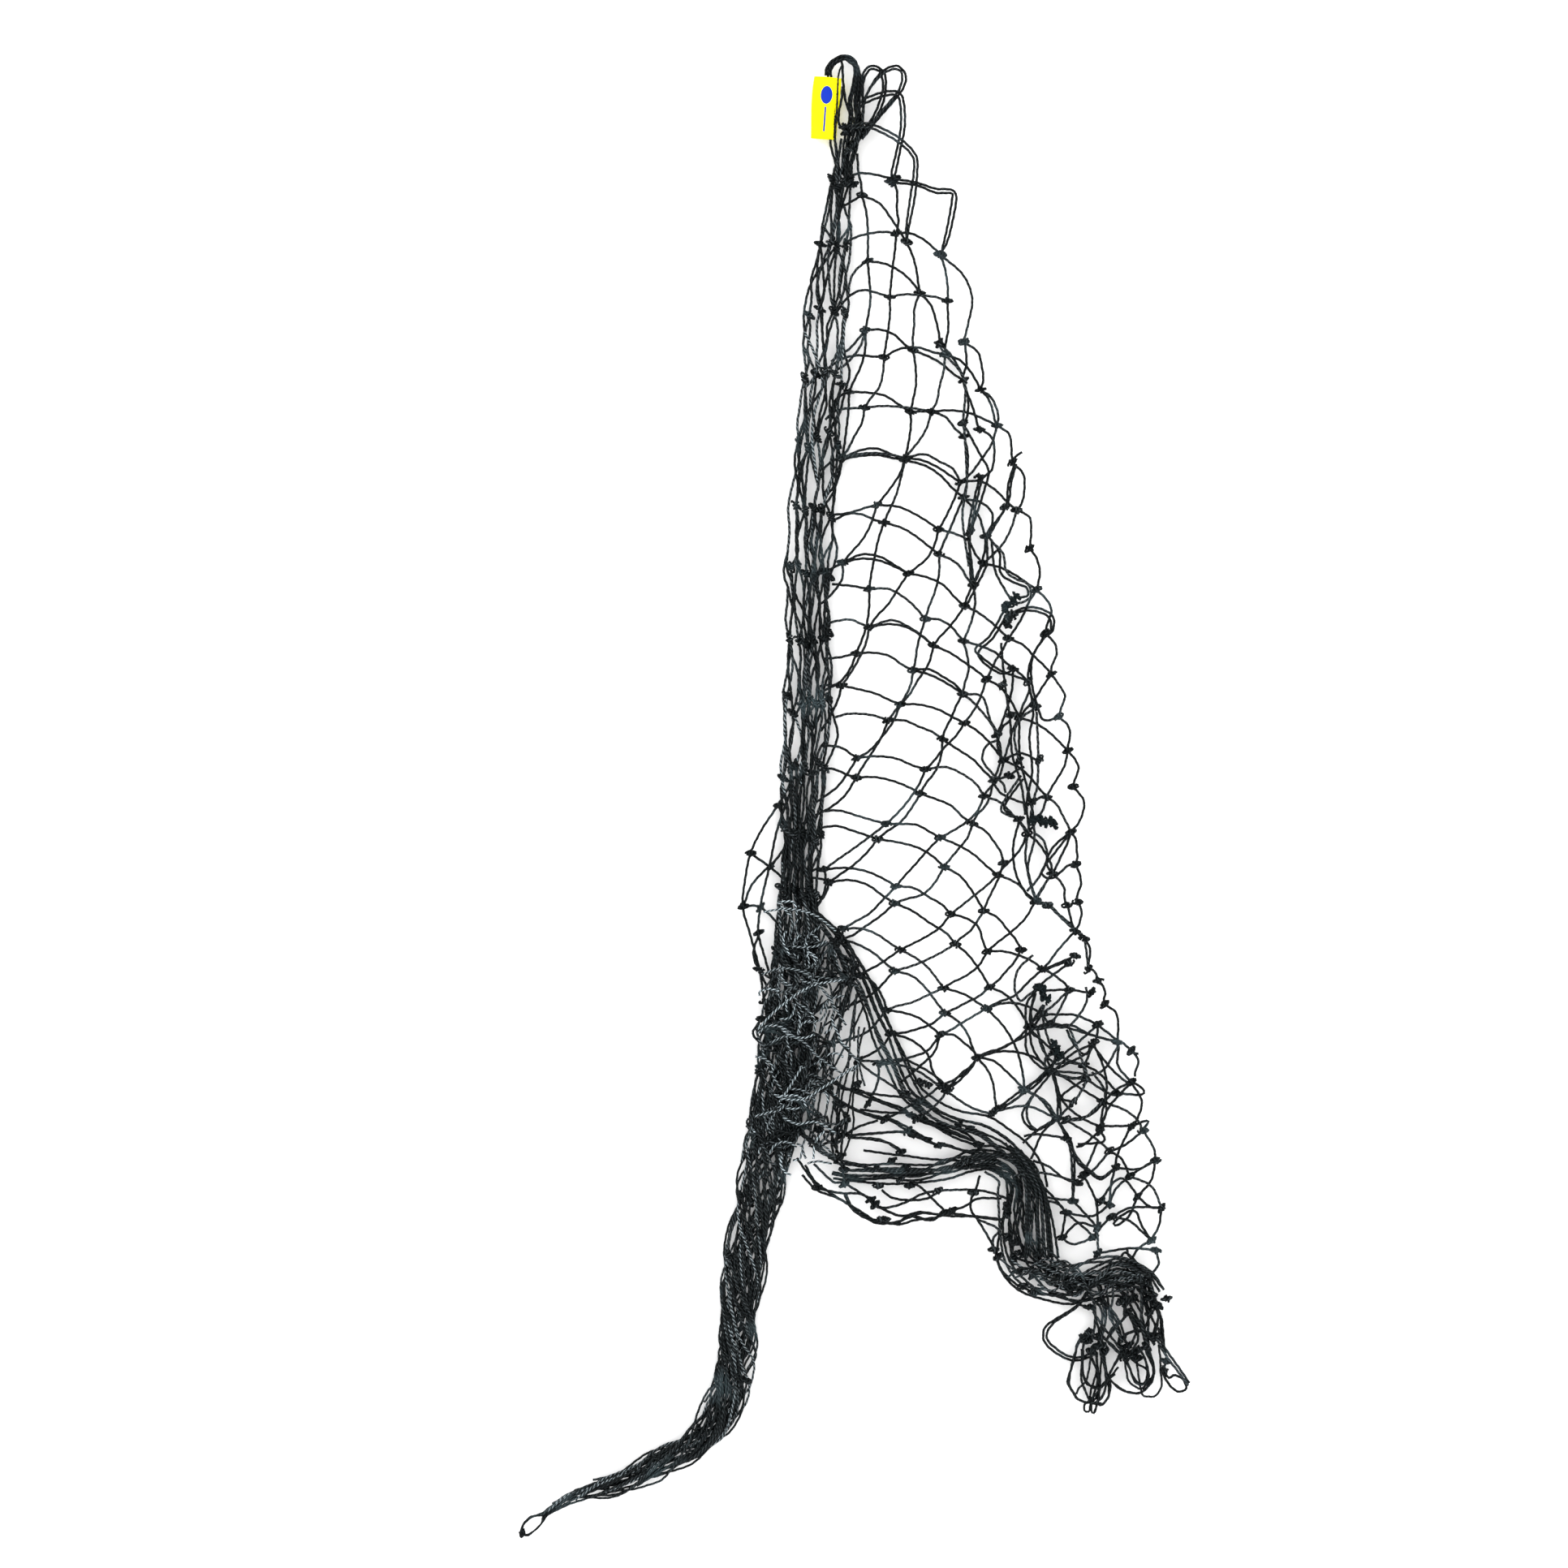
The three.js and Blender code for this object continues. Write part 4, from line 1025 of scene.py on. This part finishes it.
bulge = Twine()
BULGE_KNOTS = [
    (-45, -5), (-62.5, -34.5), (-50, -42.5), (-67, -67.5), (-56.5, -68), (-57.5, -83.5), (-57.5, -106),
    (-54, -126),
]
for run in (
    [
        (-36, 12), (-45, -5), (-56, -20), (-62.5, -34.5), (-66, -50), (-67, -67.5), (-63, -84),
        (-57.5, -106), (-54, -126), (-50, -150),
    ],
    [(-38, 4), (-46, -20), (-50, -42.5), (-54, -56), (-56.5, -68), (-57.5, -83.5), (-54, -100), (-48, -118)],
    [(-62.5, -34.5), (-50, -42.5), (-40, -52)],
    [(-67, -67.5), (-56.5, -68), (-46, -78), (-40, -90)],
    [(-45, -5), (-40, -26), (-50, -42.5)],
    [(-50, -42.5), (-62, -54), (-67, -67.5)],
    [(-57.5, -83.5), (-61, -95), (-57.5, -106), (-46, -114)],
    [(-57.5, -106), (-52, -118), (-54, -126), (-46, -142)],
):
    bulge.strand(run, height=rng.uniform(1, 4), wander=0.4)
for place in BULGE_KNOTS:
    bulge.knot(place, 2.4)

# ---------------------------------------------------------------- the tail

tail_top, tail_tip = Twine(), Twine()
CUT = 745  # distance down the route where the tip starts
LAST = ROUTE[-1]
TAIL_STRANDS = 42
TAIL_START = 590  # distance down the route where the turning is counted from
TAIL_TURN = 150  # length in which the strands go once round each other
for lane in range(TAIL_STRANDS):
    phase = lane * math.tau / TAIL_STRANDS + rng.normal(0, 0.3)
    reach = rng.uniform(0.35, 1.08)
    loose = rng.uniform(0, math.tau)
    first = rng.uniform(560, 600)
    if lane % 7 == 6:
        first = rng.uniform(600, 700)
    last = LAST + rng.uniform(-14, 0) if lane % 4 == 1 else rng.uniform(775, 905)
    points = []
    for d in np.arange(first, last, 9.0):
        turn = phase + (d - TAIL_START) * math.tau / TAIL_TURN + 0.35 * math.sin(d / 17 + loose)
        share = reach * (1 + (0.1 + 0.16 * (d > CUT)) * math.sin(d / 9 + loose)) * math.sin(turn)
        points.append(route_place(d, float(np.clip(share, -1.12, 1.12)), 0.5 + 0.5 * math.cos(turn) * reach))
    path = smooth(np.array(points), STEP)
    travelled = first + np.cumsum(np.r_[0, np.linalg.norm(np.diff(path[:, :2], axis=0), axis=1)])
    travelled = first + (travelled - first) * (last - first) / max(1e-6, travelled[-1] - first)
    gone = int(np.searchsorted(travelled, CUT))
    # about one strand in five is painted paler, with a stronger painted highlight on its plies
    pale_and_glint = rng.uniform(0.35, 0.7) if rng.random() < 0.22 else 0.02
    if gone > 1:
        tail_top.tube(path[: gone + 1].copy(), TAIL_TWINE, pale_and_glint)
    if gone < len(path) - 2:
        tail_tip.tube(path[gone:].copy(), TAIL_TWINE, pale_and_glint)
for row in TAIL_ROWS:
    for _ in range(4 if row < 800 else 2):
        share, level = rng.uniform(-0.9, 0.9), rng.uniform(0.2, 1)
        d = row + rng.normal(0, 5)
        place = route_place(d, share, level)
        (tail_top if d < CUT else tail_tip).knot(place, place[2], rng.normal(-1.4, 0.5), 0.92)
for lane in range(4):
    across, rise = (lane - 1.5) * 0.7, 0.9 + (lane % 2) * 1.3
    tail_tip.strand(
        [
            (-180 + across, -435.5), (-188, -440.5 + across), (-192.5, -442 + across * 0.6),
            (-198, -443.5 - across * 0.3), (-202.5 + across * 0.2, -448), (-203.5 + across * 0.4, -453),
            (-200, -454.5 + across * 0.4), (-195.5, -451.5), (-191.5, -447.5), (-188.5 + across, -442),
            (-181, -437.5 - across),
        ],
        rise, thickness=1.2,
    )
tail_tip.knot((-203.2, -453), 1.8, 0.8, 0.8)

# ---------------------------------------------------------------- mouth loops

loops = Twine()
for k in range(2):
    inset = k * 1.5
    loops.strand(
        [
            (-8 + k, 381), (-10.5 + k * 1.8, 391), (-13 + k * 3.2, 400), (-13.5 + k * 2.6, 406),
            (-13.4 + k * 2.2, 424), (-14.8 + k * 1.8, 443), (-14.6 + k * 1.5, 447.5),
            (-12.4 + k, 451.5 - k), (-8.7 + k * 0.6, 454.6 - inset), (-3.6, 455.7 - inset),
            (1.2 - inset * 0.2, 453.2 - inset), (4.4 - inset * 0.5, 447), (5 - inset, 437),
            (4.4 - inset, 426), (5 - inset, 415), (3 - inset, 400), (-2 - inset, 384),
        ],
        [3, 2, 1.7, 1.7, 1.7, 1.7, 1.7, 1.3, 1.2, 1.2, 1.2, 1.2, 1.5, 2, 4, 5, 4],
    )
for k in range(2):
    loops.strand(
        [
            (-16.5 + k * 2, 444), (-16 + k * 1.6, 448), (-13.6 + k, 451.8 - k * 0.8),
            (-8.9, 455 - k * 1.6), (-3.6, 456 - k * 1.6), (1.6, 453.4 - k * 1.5), (4, 446),
            (3.6 - k * 1.6, 436), (2.6 - k * 1.6, 426), (3.4 - k * 1.4, 416), (-1.5 - k * 2, 400),
            (-4 - k, 382),
        ],
        2.9 - k * 0.4, wander=0.15,
    )
for k in range(2):
    loops.strand(
        [
            (-3.4 + k, 453.6 - k), (1.4 + k * 0.9, 449), (0.4 + k * 1.4, 438), (-2.4 + k * 1.8, 428),
            (-1.4 + k * 1.6, 418), (-5.5 + k * 1.8, 402), (-6 + k, 384),
        ],
        3 + k, wander=0.2,
    )
loops.strand([(-6.8, 454.6), (-6, 449), (-5.6, 440), (-4, 428), (-1.5, 419), (-3, 402), (-6, 383)], 2.4)
for k in range(2):
    inset = k * 2.1
    loops.strand(
        [
            (2, 400), (6.5, 418), (5.8 + inset * 0.3, 438), (7.4 + inset, 446),
            (11 + inset * 0.4, 449 - inset * 0.7), (15, 449 - inset), (19.6 - inset, 445 - inset * 0.3),
            (20.8 - inset, 437), (19.2 - inset, 428.5), (16 - inset, 420), (9 - inset * 0.5, 410),
            (1, 400),
        ],
        4.8 + k, wander=0.15,
    )
    loops.strand(
        [
            (3, 401), (6, 414), (7.5, 427), (11 + inset * 0.3, 436), (17 + inset * 0.4, 444 - inset * 0.4),
            (23, 448.4 - inset), (28.6 - inset * 0.3, 448.6 - inset), (32.8 - inset, 443),
            (31 - inset, 434.7), (24 - inset * 0.7, 426), (15 - inset * 0.5, 416), (6, 404),
        ],
        7.4 + k, wander=0.15,
    )
for place in ((-4.8, 412), (-4, 409), (7, 408), (8.5, 411.5), (2, 416)):
    loops.knot(place, rng.uniform(4, 7), rng.uniform(-0.5, 0.8))

mouth = Twine()
for k in range(2):
    inset = k * 2.3
    for run in (
        [
            (0, 406, 6), (4, 424.5 - inset, 10.5), (11.5, 429.5 - inset, 10.8),
            (23 - inset * 0.3, 433 - inset, 10.8), (30.5 - inset, 429.5 - inset * 0.5, 10.5),
            (32 - inset, 413, 8), (29.5 - inset, 398, 6.5), (26.5 - inset, 384, 5.4), (24.5, 380, 4),
        ],
        [
            (-2, 411.5 - inset, 13), (6, 412.5 - inset, 13.6), (13, 411.5 - inset, 13.6),
            (28 - inset * 0.4, 404.5 - inset, 11.5), (39 - inset, 394 - inset * 0.4, 9),
            (40 - inset, 384, 6.5), (38 - inset, 367.5, 5.4), (34.5 - inset * 0.6, 350, 5),
            (33.5, 341.5, 3),
        ],
        [
            (24.5, 380 - inset, 7), (39.5, 378 - inset, 6.6), (51, 374 - inset, 5.4),
            (61 - inset * 0.3, 373.5 - inset, 3), (64 - inset, 369, 1.6), (61 - inset, 352.5, 1.5),
            (58.5 - inset, 341.5, 1.4), (54, 333.5, 2.2),
        ],
    ):
        mouth.strand(run, wander=0.2)
for place, size in (((25.5, 380), 1.35), ((24, 378), 1.2), ((33.5, 341.5), 1.1), ((54, 333.5), 1.2)):
    mouth.knot(place, 4.5, size=size)
for place in ((-11, 377), (-7, 375.5), (-3.5, 377), (0.5, 376.5), (-2, 398), (1, 402)):
    column.knot(place, rng.uniform(3, 7), rng.uniform(-0.6, 0.6), 1.05)

# ---------------------------------------------------------------- end loops

FIRST_OUTER = [
    (146, -303), (142.9, -307.2), (138.7, -312.9), (133, -317), (124.6, -322), (119, -326.2), (117.6, -331),
    (118.3, -335.3), (122.5, -340.2), (128.9, -344.4), (135.2, -346.9), (141.5, -346.5), (148, -344),
]
FIRST_INNER = [
    (145.5, -305), (142.2, -309.4), (138, -314.3), (131, -319.2), (124.6, -323.4), (121.1, -327.6),
    (119.7, -331), (120.8, -335.3), (125.4, -339.5), (130.3, -343), (135.9, -345), (141.5, -344.8),
    (148, -342),
]
first_loop = Twine()
first_loop.strand(FIRST_OUTER, 1.1)
first_loop.strand(FIRST_INNER, 1.1)

second_loop = Twine()
SECOND_RUNS = [
    [
        (146, -327), (139.4, -334.6), (136.6, -344.4), (134.5, -353.6), (133.8, -360.6), (135.2, -365.5),
        (138.7, -369.7), (142.9, -372.5), (149.9, -373.2), (154.1, -372.5), (156.9, -368.3), (158.3, -362),
        (156.2, -352.2), (154.1, -343.7), (152, -334),
    ],
    [
        (148, -328), (142.5, -336), (140.8, -348), (140.8, -358), (142.9, -365), (145.7, -370.5),
        (149, -372.5), (154, -368), (156, -358), (154, -347), (151, -336),
    ],
    [(144.3, -372.5), (149.9, -366.2), (154.1, -360.6), (160.4, -355), (163.3, -350)],
    [
        (142, -340), (142, -354), (144.3, -360.6), (148.5, -363.4), (152.7, -362.7), (156.9, -359.2),
        (161.1, -354.3),
    ],
    [
        (150, -341), (150.5, -353), (147, -366), (146.4, -371.1), (143.6, -373.2), (142.2, -376),
        (143.6, -377.8), (145.7, -377.4), (147.1, -373.9), (151.3, -365.5), (152.7, -355.7), (153, -342),
    ],
    [
        (148, -345), (151, -357), (148, -369), (147.1, -376), (147.8, -378.8), (149.6, -377.4),
        (150.6, -371.8), (152, -364.8), (151.3, -355.7), (150.6, -342),
    ],
    [(138, -366.5), (140, -363.5), (143, -359), (146, -350), (147, -340)],
]
for k, run in enumerate(SECOND_RUNS):
    for _ in range(1 + (k % 2)):
        second_loop.strand(run, rng.uniform(1.5, 6), wander=0.4, thickness=TAIL_TWINE)
second_loop.strand(SECOND_RUNS[0], 3, wander=0.7)

third_loop = Twine()
THIRD_RUNS = [
    [
        (168, -338), (167.5, -347), (168.2, -354.3), (170.3, -359.9), (174.5, -363.4), (178.7, -362.7),
        (182.9, -359.2), (185, -354.3), (183.6, -348.6), (181.5, -340.9), (180, -333),
    ],
    [
        (166, -340), (160.4, -350), (158, -356), (160.4, -359.9), (164.6, -364), (170.3, -366.2),
        (177.3, -366.2), (182.2, -362.7), (185, -357.8), (185, -350), (181, -338),
    ],
    [
        (174, -338), (176, -352), (178.7, -366.9), (182.9, -369.4), (186.4, -369), (189.2, -365.5),
        (189.9, -359.2), (189.2, -353.6), (190, -345), (189, -337),
    ],
    [(165.5, -339), (170, -350), (174, -358), (178, -361), (181, -356), (180, -346), (176, -337)],
    [(167, -341), (174, -347), (181, -352), (183, -358), (179, -364)],
]
for k, run in enumerate(THIRD_RUNS):
    for _ in range(1 + (k % 2)):
        third_loop.strand(run, rng.uniform(1.2, 6), wander=0.5, thickness=TAIL_TWINE)

fourth_loop = Twine()
FOURTH_RUNS = [
    [(186.4, -331), (189, -337), (193.4, -343.7), (199.7, -352.2), (206.3, -361.3)],
    [(187.8, -330), (190.6, -336.5), (195, -343), (201.2, -351.7), (206.8, -360)],
    [
        (188, -326), (190, -334), (192, -341), (193.5, -346), (191, -352), (192, -356.4), (195.5, -362),
        (199.7, -365.1), (203.2, -365.1), (205.4, -362.7), (203.2, -357.8), (198.3, -355.7), (194.8, -357.4),
        (192, -355),
    ],
]
for run in FOURTH_RUNS:
    fourth_loop.strand(run, rng.uniform(4, 8), wander=0.2)
fourth_loop.knot((192, -353), 4, 1.2)
fourth_loop.knot((192.5, -347), 4, -1.0, 0.9)

# Strands that lead from the corner to the knots the end loops hang from.
END_RUNS = [
    [(144.3, -305.8), (151.3, -312.2), (153.4, -320.6), (152.7, -328.3), (153.4, -336.7)],
    [(146, -303), (149, -313), (148.5, -324), (147, -333)],
    [(150, -300), (154, -311), (156, -322), (152, -336)],
    [(155, -300), (157, -312), (160, -322), (165.4, -334)],
    [(160, -298), (160, -309), (158.3, -318.5), (163.3, -328.3), (166, -336)],
    [(156.9, -334), (161.1, -326.9), (166.8, -320), (167.5, -315.7), (170, -304)],
    [(170.3, -317), (174.5, -324), (175.9, -331), (173.8, -336.7), (171, -341)],
    [(169.6, -317), (173, -325), (174.2, -331), (172, -336), (169, -341)],
    [(166.8, -331.8), (171.7, -329), (176.6, -328.3), (185, -330)],
    [(152, -330), (160, -338), (167, -345)],
    [(175, -300), (172.7, -308.6), (178, -318), (181, -330), (180, -338)],
    [(165.4, -310), (169.6, -317), (178, -327), (186, -336)],
    [(182.3, -295), (184.3, -307.2), (189.9, -319.2), (190.6, -326.9), (192, -338)],
    [(182.9, -297), (186, -309), (188, -320), (186, -331)],
    [(180, -300), (181, -309), (182.9, -316.4), (186, -325), (185, -331)],
    [(178, -300), (179, -312), (178, -324), (181, -336)],
    [(183, -307), (183, -318), (180, -330), (182, -340)],
    [(153, -308), (163, -322), (166, -334)],
    [(148, -316), (154, -325), (160, -334), (165, -341)],
    [(162, -300), (170, -311), (175, -321), (181, -333)],
]
ends = Twine()
for run in END_RUNS:
    ends.strand(run, rng.uniform(1.2, 7), wander=0.5)
    if rng.random() < 0.5:
        ends.strand(run, rng.uniform(1.2, 7), wander=1.0)
for place in (
    (184.3, -307.2), (172.7, -308.6), (165.4, -310), (169.6, -317), (173, -319.9), (145.7, -313.6),
    (152.7, -309.4), (182.9, -316.4), (185, -331), (186, -333), (146, -334), (149, -338), (153, -337),
    (155, -341), (142, -333), (145, -330), (166, -334), (167, -340), (168, -345), (172, -343), (175, -345),
    (170, -337), (181, -338), (178, -304), (183, -308), (187, -312), (151, -332), (176, -340), (147, -341),
):
    ends.knot(place, rng.uniform(2.5, 6), rng.uniform(-1.6, 0.4), 1.05)

# ---------------------------------------------------------------- lashings


def lashing(start, end, size):
    """Thread knotted round the strands of a seam again and again, with its turns between the knots."""
    twine = Twine()
    start, end = np.array([*start, 6.5]), np.array([*end, 6.5])
    length = np.linalg.norm(end - start)
    axis = (end - start) / length
    side = np.array([-axis[1], axis[0], 0])
    lean = math.atan2(axis[1], axis[0])
    knots = max(3, round(length / 2.9))
    for share in np.linspace(0.08, 0.92, knots):
        place = start + axis * length * share + side * rng.normal(0, 0.7)
        twine.knot(place, place[2] + rng.normal(0, 0.4), lean + rng.normal(1.2, 0.5), size)
    share = np.linspace(0, 1, 40)[:, None]
    sweep = math.tau * 2.5 * share
    path = start + axis * length * share + (side * np.cos(sweep) + np.array([0, 0, 1]) * np.sin(sweep)) * 1.2
    twine.tube(path, 1.0)
    return twine


# ---------------------------------------------------------------- pieces

NETTING = "netting"
column.make(
    "gathered_side", TWINE_MATERIAL, "twine",
    ["neck_binding", "side_gather_upper", "side_gather_middle", "side_gather_lower"], NETTING,
)
PARTS = ("upper", "middle", "lower", "corner")
front.make("front_layer", TWINE_MATERIAL, "twine", [f"front_netting_{part}" for part in PARTS], NETTING)
back.make("back_layer", TWINE_MATERIAL, "twine", [f"back_netting_{part}" for part in PARTS], NETTING)
fold.make("folded_edge", TWINE_MATERIAL, "twine", ["side_fold_upper", "side_fold_lower"], NETTING)
corner.make("far_corner", TWINE_MATERIAL, "twine", ["corner_gather"], NETTING)
swag.make("swag_strands", TWINE_MATERIAL, "twine", ["swag", "swag_shoulder"], NETTING)
heap.make("heap_strands", TWINE_MATERIAL, "twine", ["tangle_heap", "inner_fold"], NETTING)
bulge.make("bulge_strands", TWINE_MATERIAL, "twine", ["side_bulge"], NETTING)
mouth.make(
    "mouth_loops", DOUBLED_MATERIAL, "doubled_twine",
    ["mouth_loop_short", "mouth_loop_long", "mouth_loop_square"], NETTING,
)
ends.make("end_strands", DOUBLED_MATERIAL, "doubled_twine", [], NETTING)
loops.make(
    "hanging_loops_twine", DOUBLED_MATERIAL, "doubled_twine",
    ["hanging_loop_main", "hanging_loop_second", "hanging_loop_third"],
    bend=(NETTING, "hanging_loops", (-2, 399, 2), (-2, 418, 2)),
)
tail_top.make(
    "tail_strands", TWINE_MATERIAL, "twine", ["tail_upper"],
    bend=(NETTING, "tail", (-50, -206, 2), (-61, -262, 2)),
)
tail_tip.make(
    "tail_tip_strands", TWINE_MATERIAL, "twine", ["tail_lower", "tail_eye"],
    bend=("tail", "tail_tip", (-77, -372, 2), (-100, -403, 2)),
)
for number, twine, start, end in (
    ("first", first_loop, (143, -308, 2), (130, -320, 2)),
    ("second", second_loop, (150, -334, 2), (148, -350, 2)),
    ("third", third_loop, (172, -336, 2), (174, -350, 2)),
    ("fourth", fourth_loop, (188, -328, 2), (194, -344, 2)),
):
    name = f"end_loop_{number}"
    twine.make(f"{name}_twine", DOUBLED_MATERIAL, "doubled_twine", [name], bend=(NETTING, name, start, end))
for name, start, end in (
    ("seam_lashing_top", (93, 115), (102, 124)),
    ("seam_lashing_middle", (109, -13), (126, -16)),
    ("seam_lashing_lower", (113, -116), (120, -126)),
    ("seam_lashing_bottom", (122, -152), (128, -160)),
):
    lashing(start, end, 0.95).make(
        f"{name}_thread", LASHING_MATERIAL, "lashing", [name], NETTING
    )

# ---------------------------------------------------------------- label


def label_sheet():
    """The label: one strip of cloth folded round two strands and closed by a seam at its right side."""
    tilt = -0.07
    middle = np.array([-16.0, 424.0])
    width, tall, thick = 17.6, 38.0, 0.35
    rounds, rows = 40, 24  # places round the strip and rows down it
    corners, uvs = [], []
    for j in range(rows + 1):
        y = (j / rows - 0.5) * tall
        for layer in (0, 1):
            for i in range(rounds + 1):
                s = i / rounds
                half = width / 2 - 1.0 + 0.35 * math.sin(y * 0.12)
                left = -half - 0.9 * math.cos(y * 0.075) + 0.5
                if s < 0.47:
                    x, z = half + s / 0.47 * (left - half), 3.1
                elif s < 0.53:
                    a = math.pi * (s - 0.47) / 0.06
                    x, z = left - 1.0 * math.sin(a), 1.8 + 1.3 * math.cos(a)
                else:
                    x, z = left + (s - 0.53) / 0.47 * (half - left), 0.5
                pinch = max(0.0, (x - (half - 4.0)) / 4.0)
                top = s < 0.5
                z = z + (1.35 - z) * min(1, pinch * 1.6) + (0.35 if top else -0.35) * min(1, pinch * 1.6)
                z += 0.25 * math.sin(x * 0.5 + y * 0.16) * (1 - min(1, pinch)) * (1 if top else 0.3)
                z += layer * thick * (-1 if top else 1) * 0.8
                corners.append((x, y, z))
                uvs.append((0.5 + x / width, 0.5 + y / tall) if top else (0.05, 0.05))
    turn = np.array([[math.cos(tilt), -math.sin(tilt)], [math.sin(tilt), math.cos(tilt)]])
    corners = np.array(corners)
    corners[:, :2] = corners[:, :2] @ turn.T + middle
    stride = 2 * (rounds + 1)
    faces = []
    for j in range(rows):
        for i in range(rounds):
            a = j * stride + i
            b = a + rounds + 1
            faces.append((a, a + stride, a + stride + 1, a + 1))
            faces.append((b, b + 1, b + stride + 1, b + stride))
        for i in (0, rounds):
            a, b = j * stride + i, j * stride + rounds + 1 + i
            quad = (a, b, b + stride, a + stride)
            faces.append(quad if i == 0 else quad[::-1])
    for j in (0, rows):
        for i in range(rounds):
            a, b = j * stride + i, j * stride + rounds + 1 + i
            quad = (a, a + 1, b + 1, b)
            faces.append(quad if j == 0 else quad[::-1])
    mesh = bpy.data.meshes.new("label_cloth")
    mesh.from_pydata((corners * MM).tolist(), [], faces)
    layer = mesh.uv_layers.new(name="lay")
    for loop in mesh.loops:
        layer.data[loop.index].uv = uvs[loop.vertex_index]
    mesh.polygons.foreach_set("use_smooth", [True] * len(faces))
    mesh.materials.append(label_material())
    cloth = bpy.data.objects.new("label_cloth", mesh)
    bpy.context.collection.objects.link(cloth)
    return cloth, turn, middle


cloth, turn, middle = label_sheet()
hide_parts("label")
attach(cloth, "label")
stitches = Twine()
STITCH_PITCH = 2.15
for k in range(17):
    y = -17.4 + k * STITCH_PITCH
    ends_of_stitch = np.array([(5.4, y), (5.5, y + 0.8), (5.4, y + 1.6)]) @ turn.T + middle
    stitches.strand(ends_of_stitch, [2.0, 2.35, 2.0], thickness=0.32, step=0.5)
stitches.make("label_thread", thread_material(), "stitching", ["label_stitching"], "label")
inside = Twine()
inside.strand(
    [
        (-8.5, 385, 3), (-10, 395, 3), (-10.5, 405, 1.9), (-9.5, 424, 1.8), (-8.6, 443.5, 1.8),
        (-6.5, 450, 1.8),
    ],
    thickness=1.3,
)
inside.strand([(-6, 437, 3), (-6.4, 430, 4), (-8.2, 421.5, 4.2), (-8.2, 414, 4.2), (-4.8, 410, 4)])
inside.make(
    "label_strands", DOUBLED_MATERIAL, "doubled_twine", ["label_strand"],
    bend=(NETTING, "hanging_loops", (-2, 399, 2), (-2, 418, 2)),
)
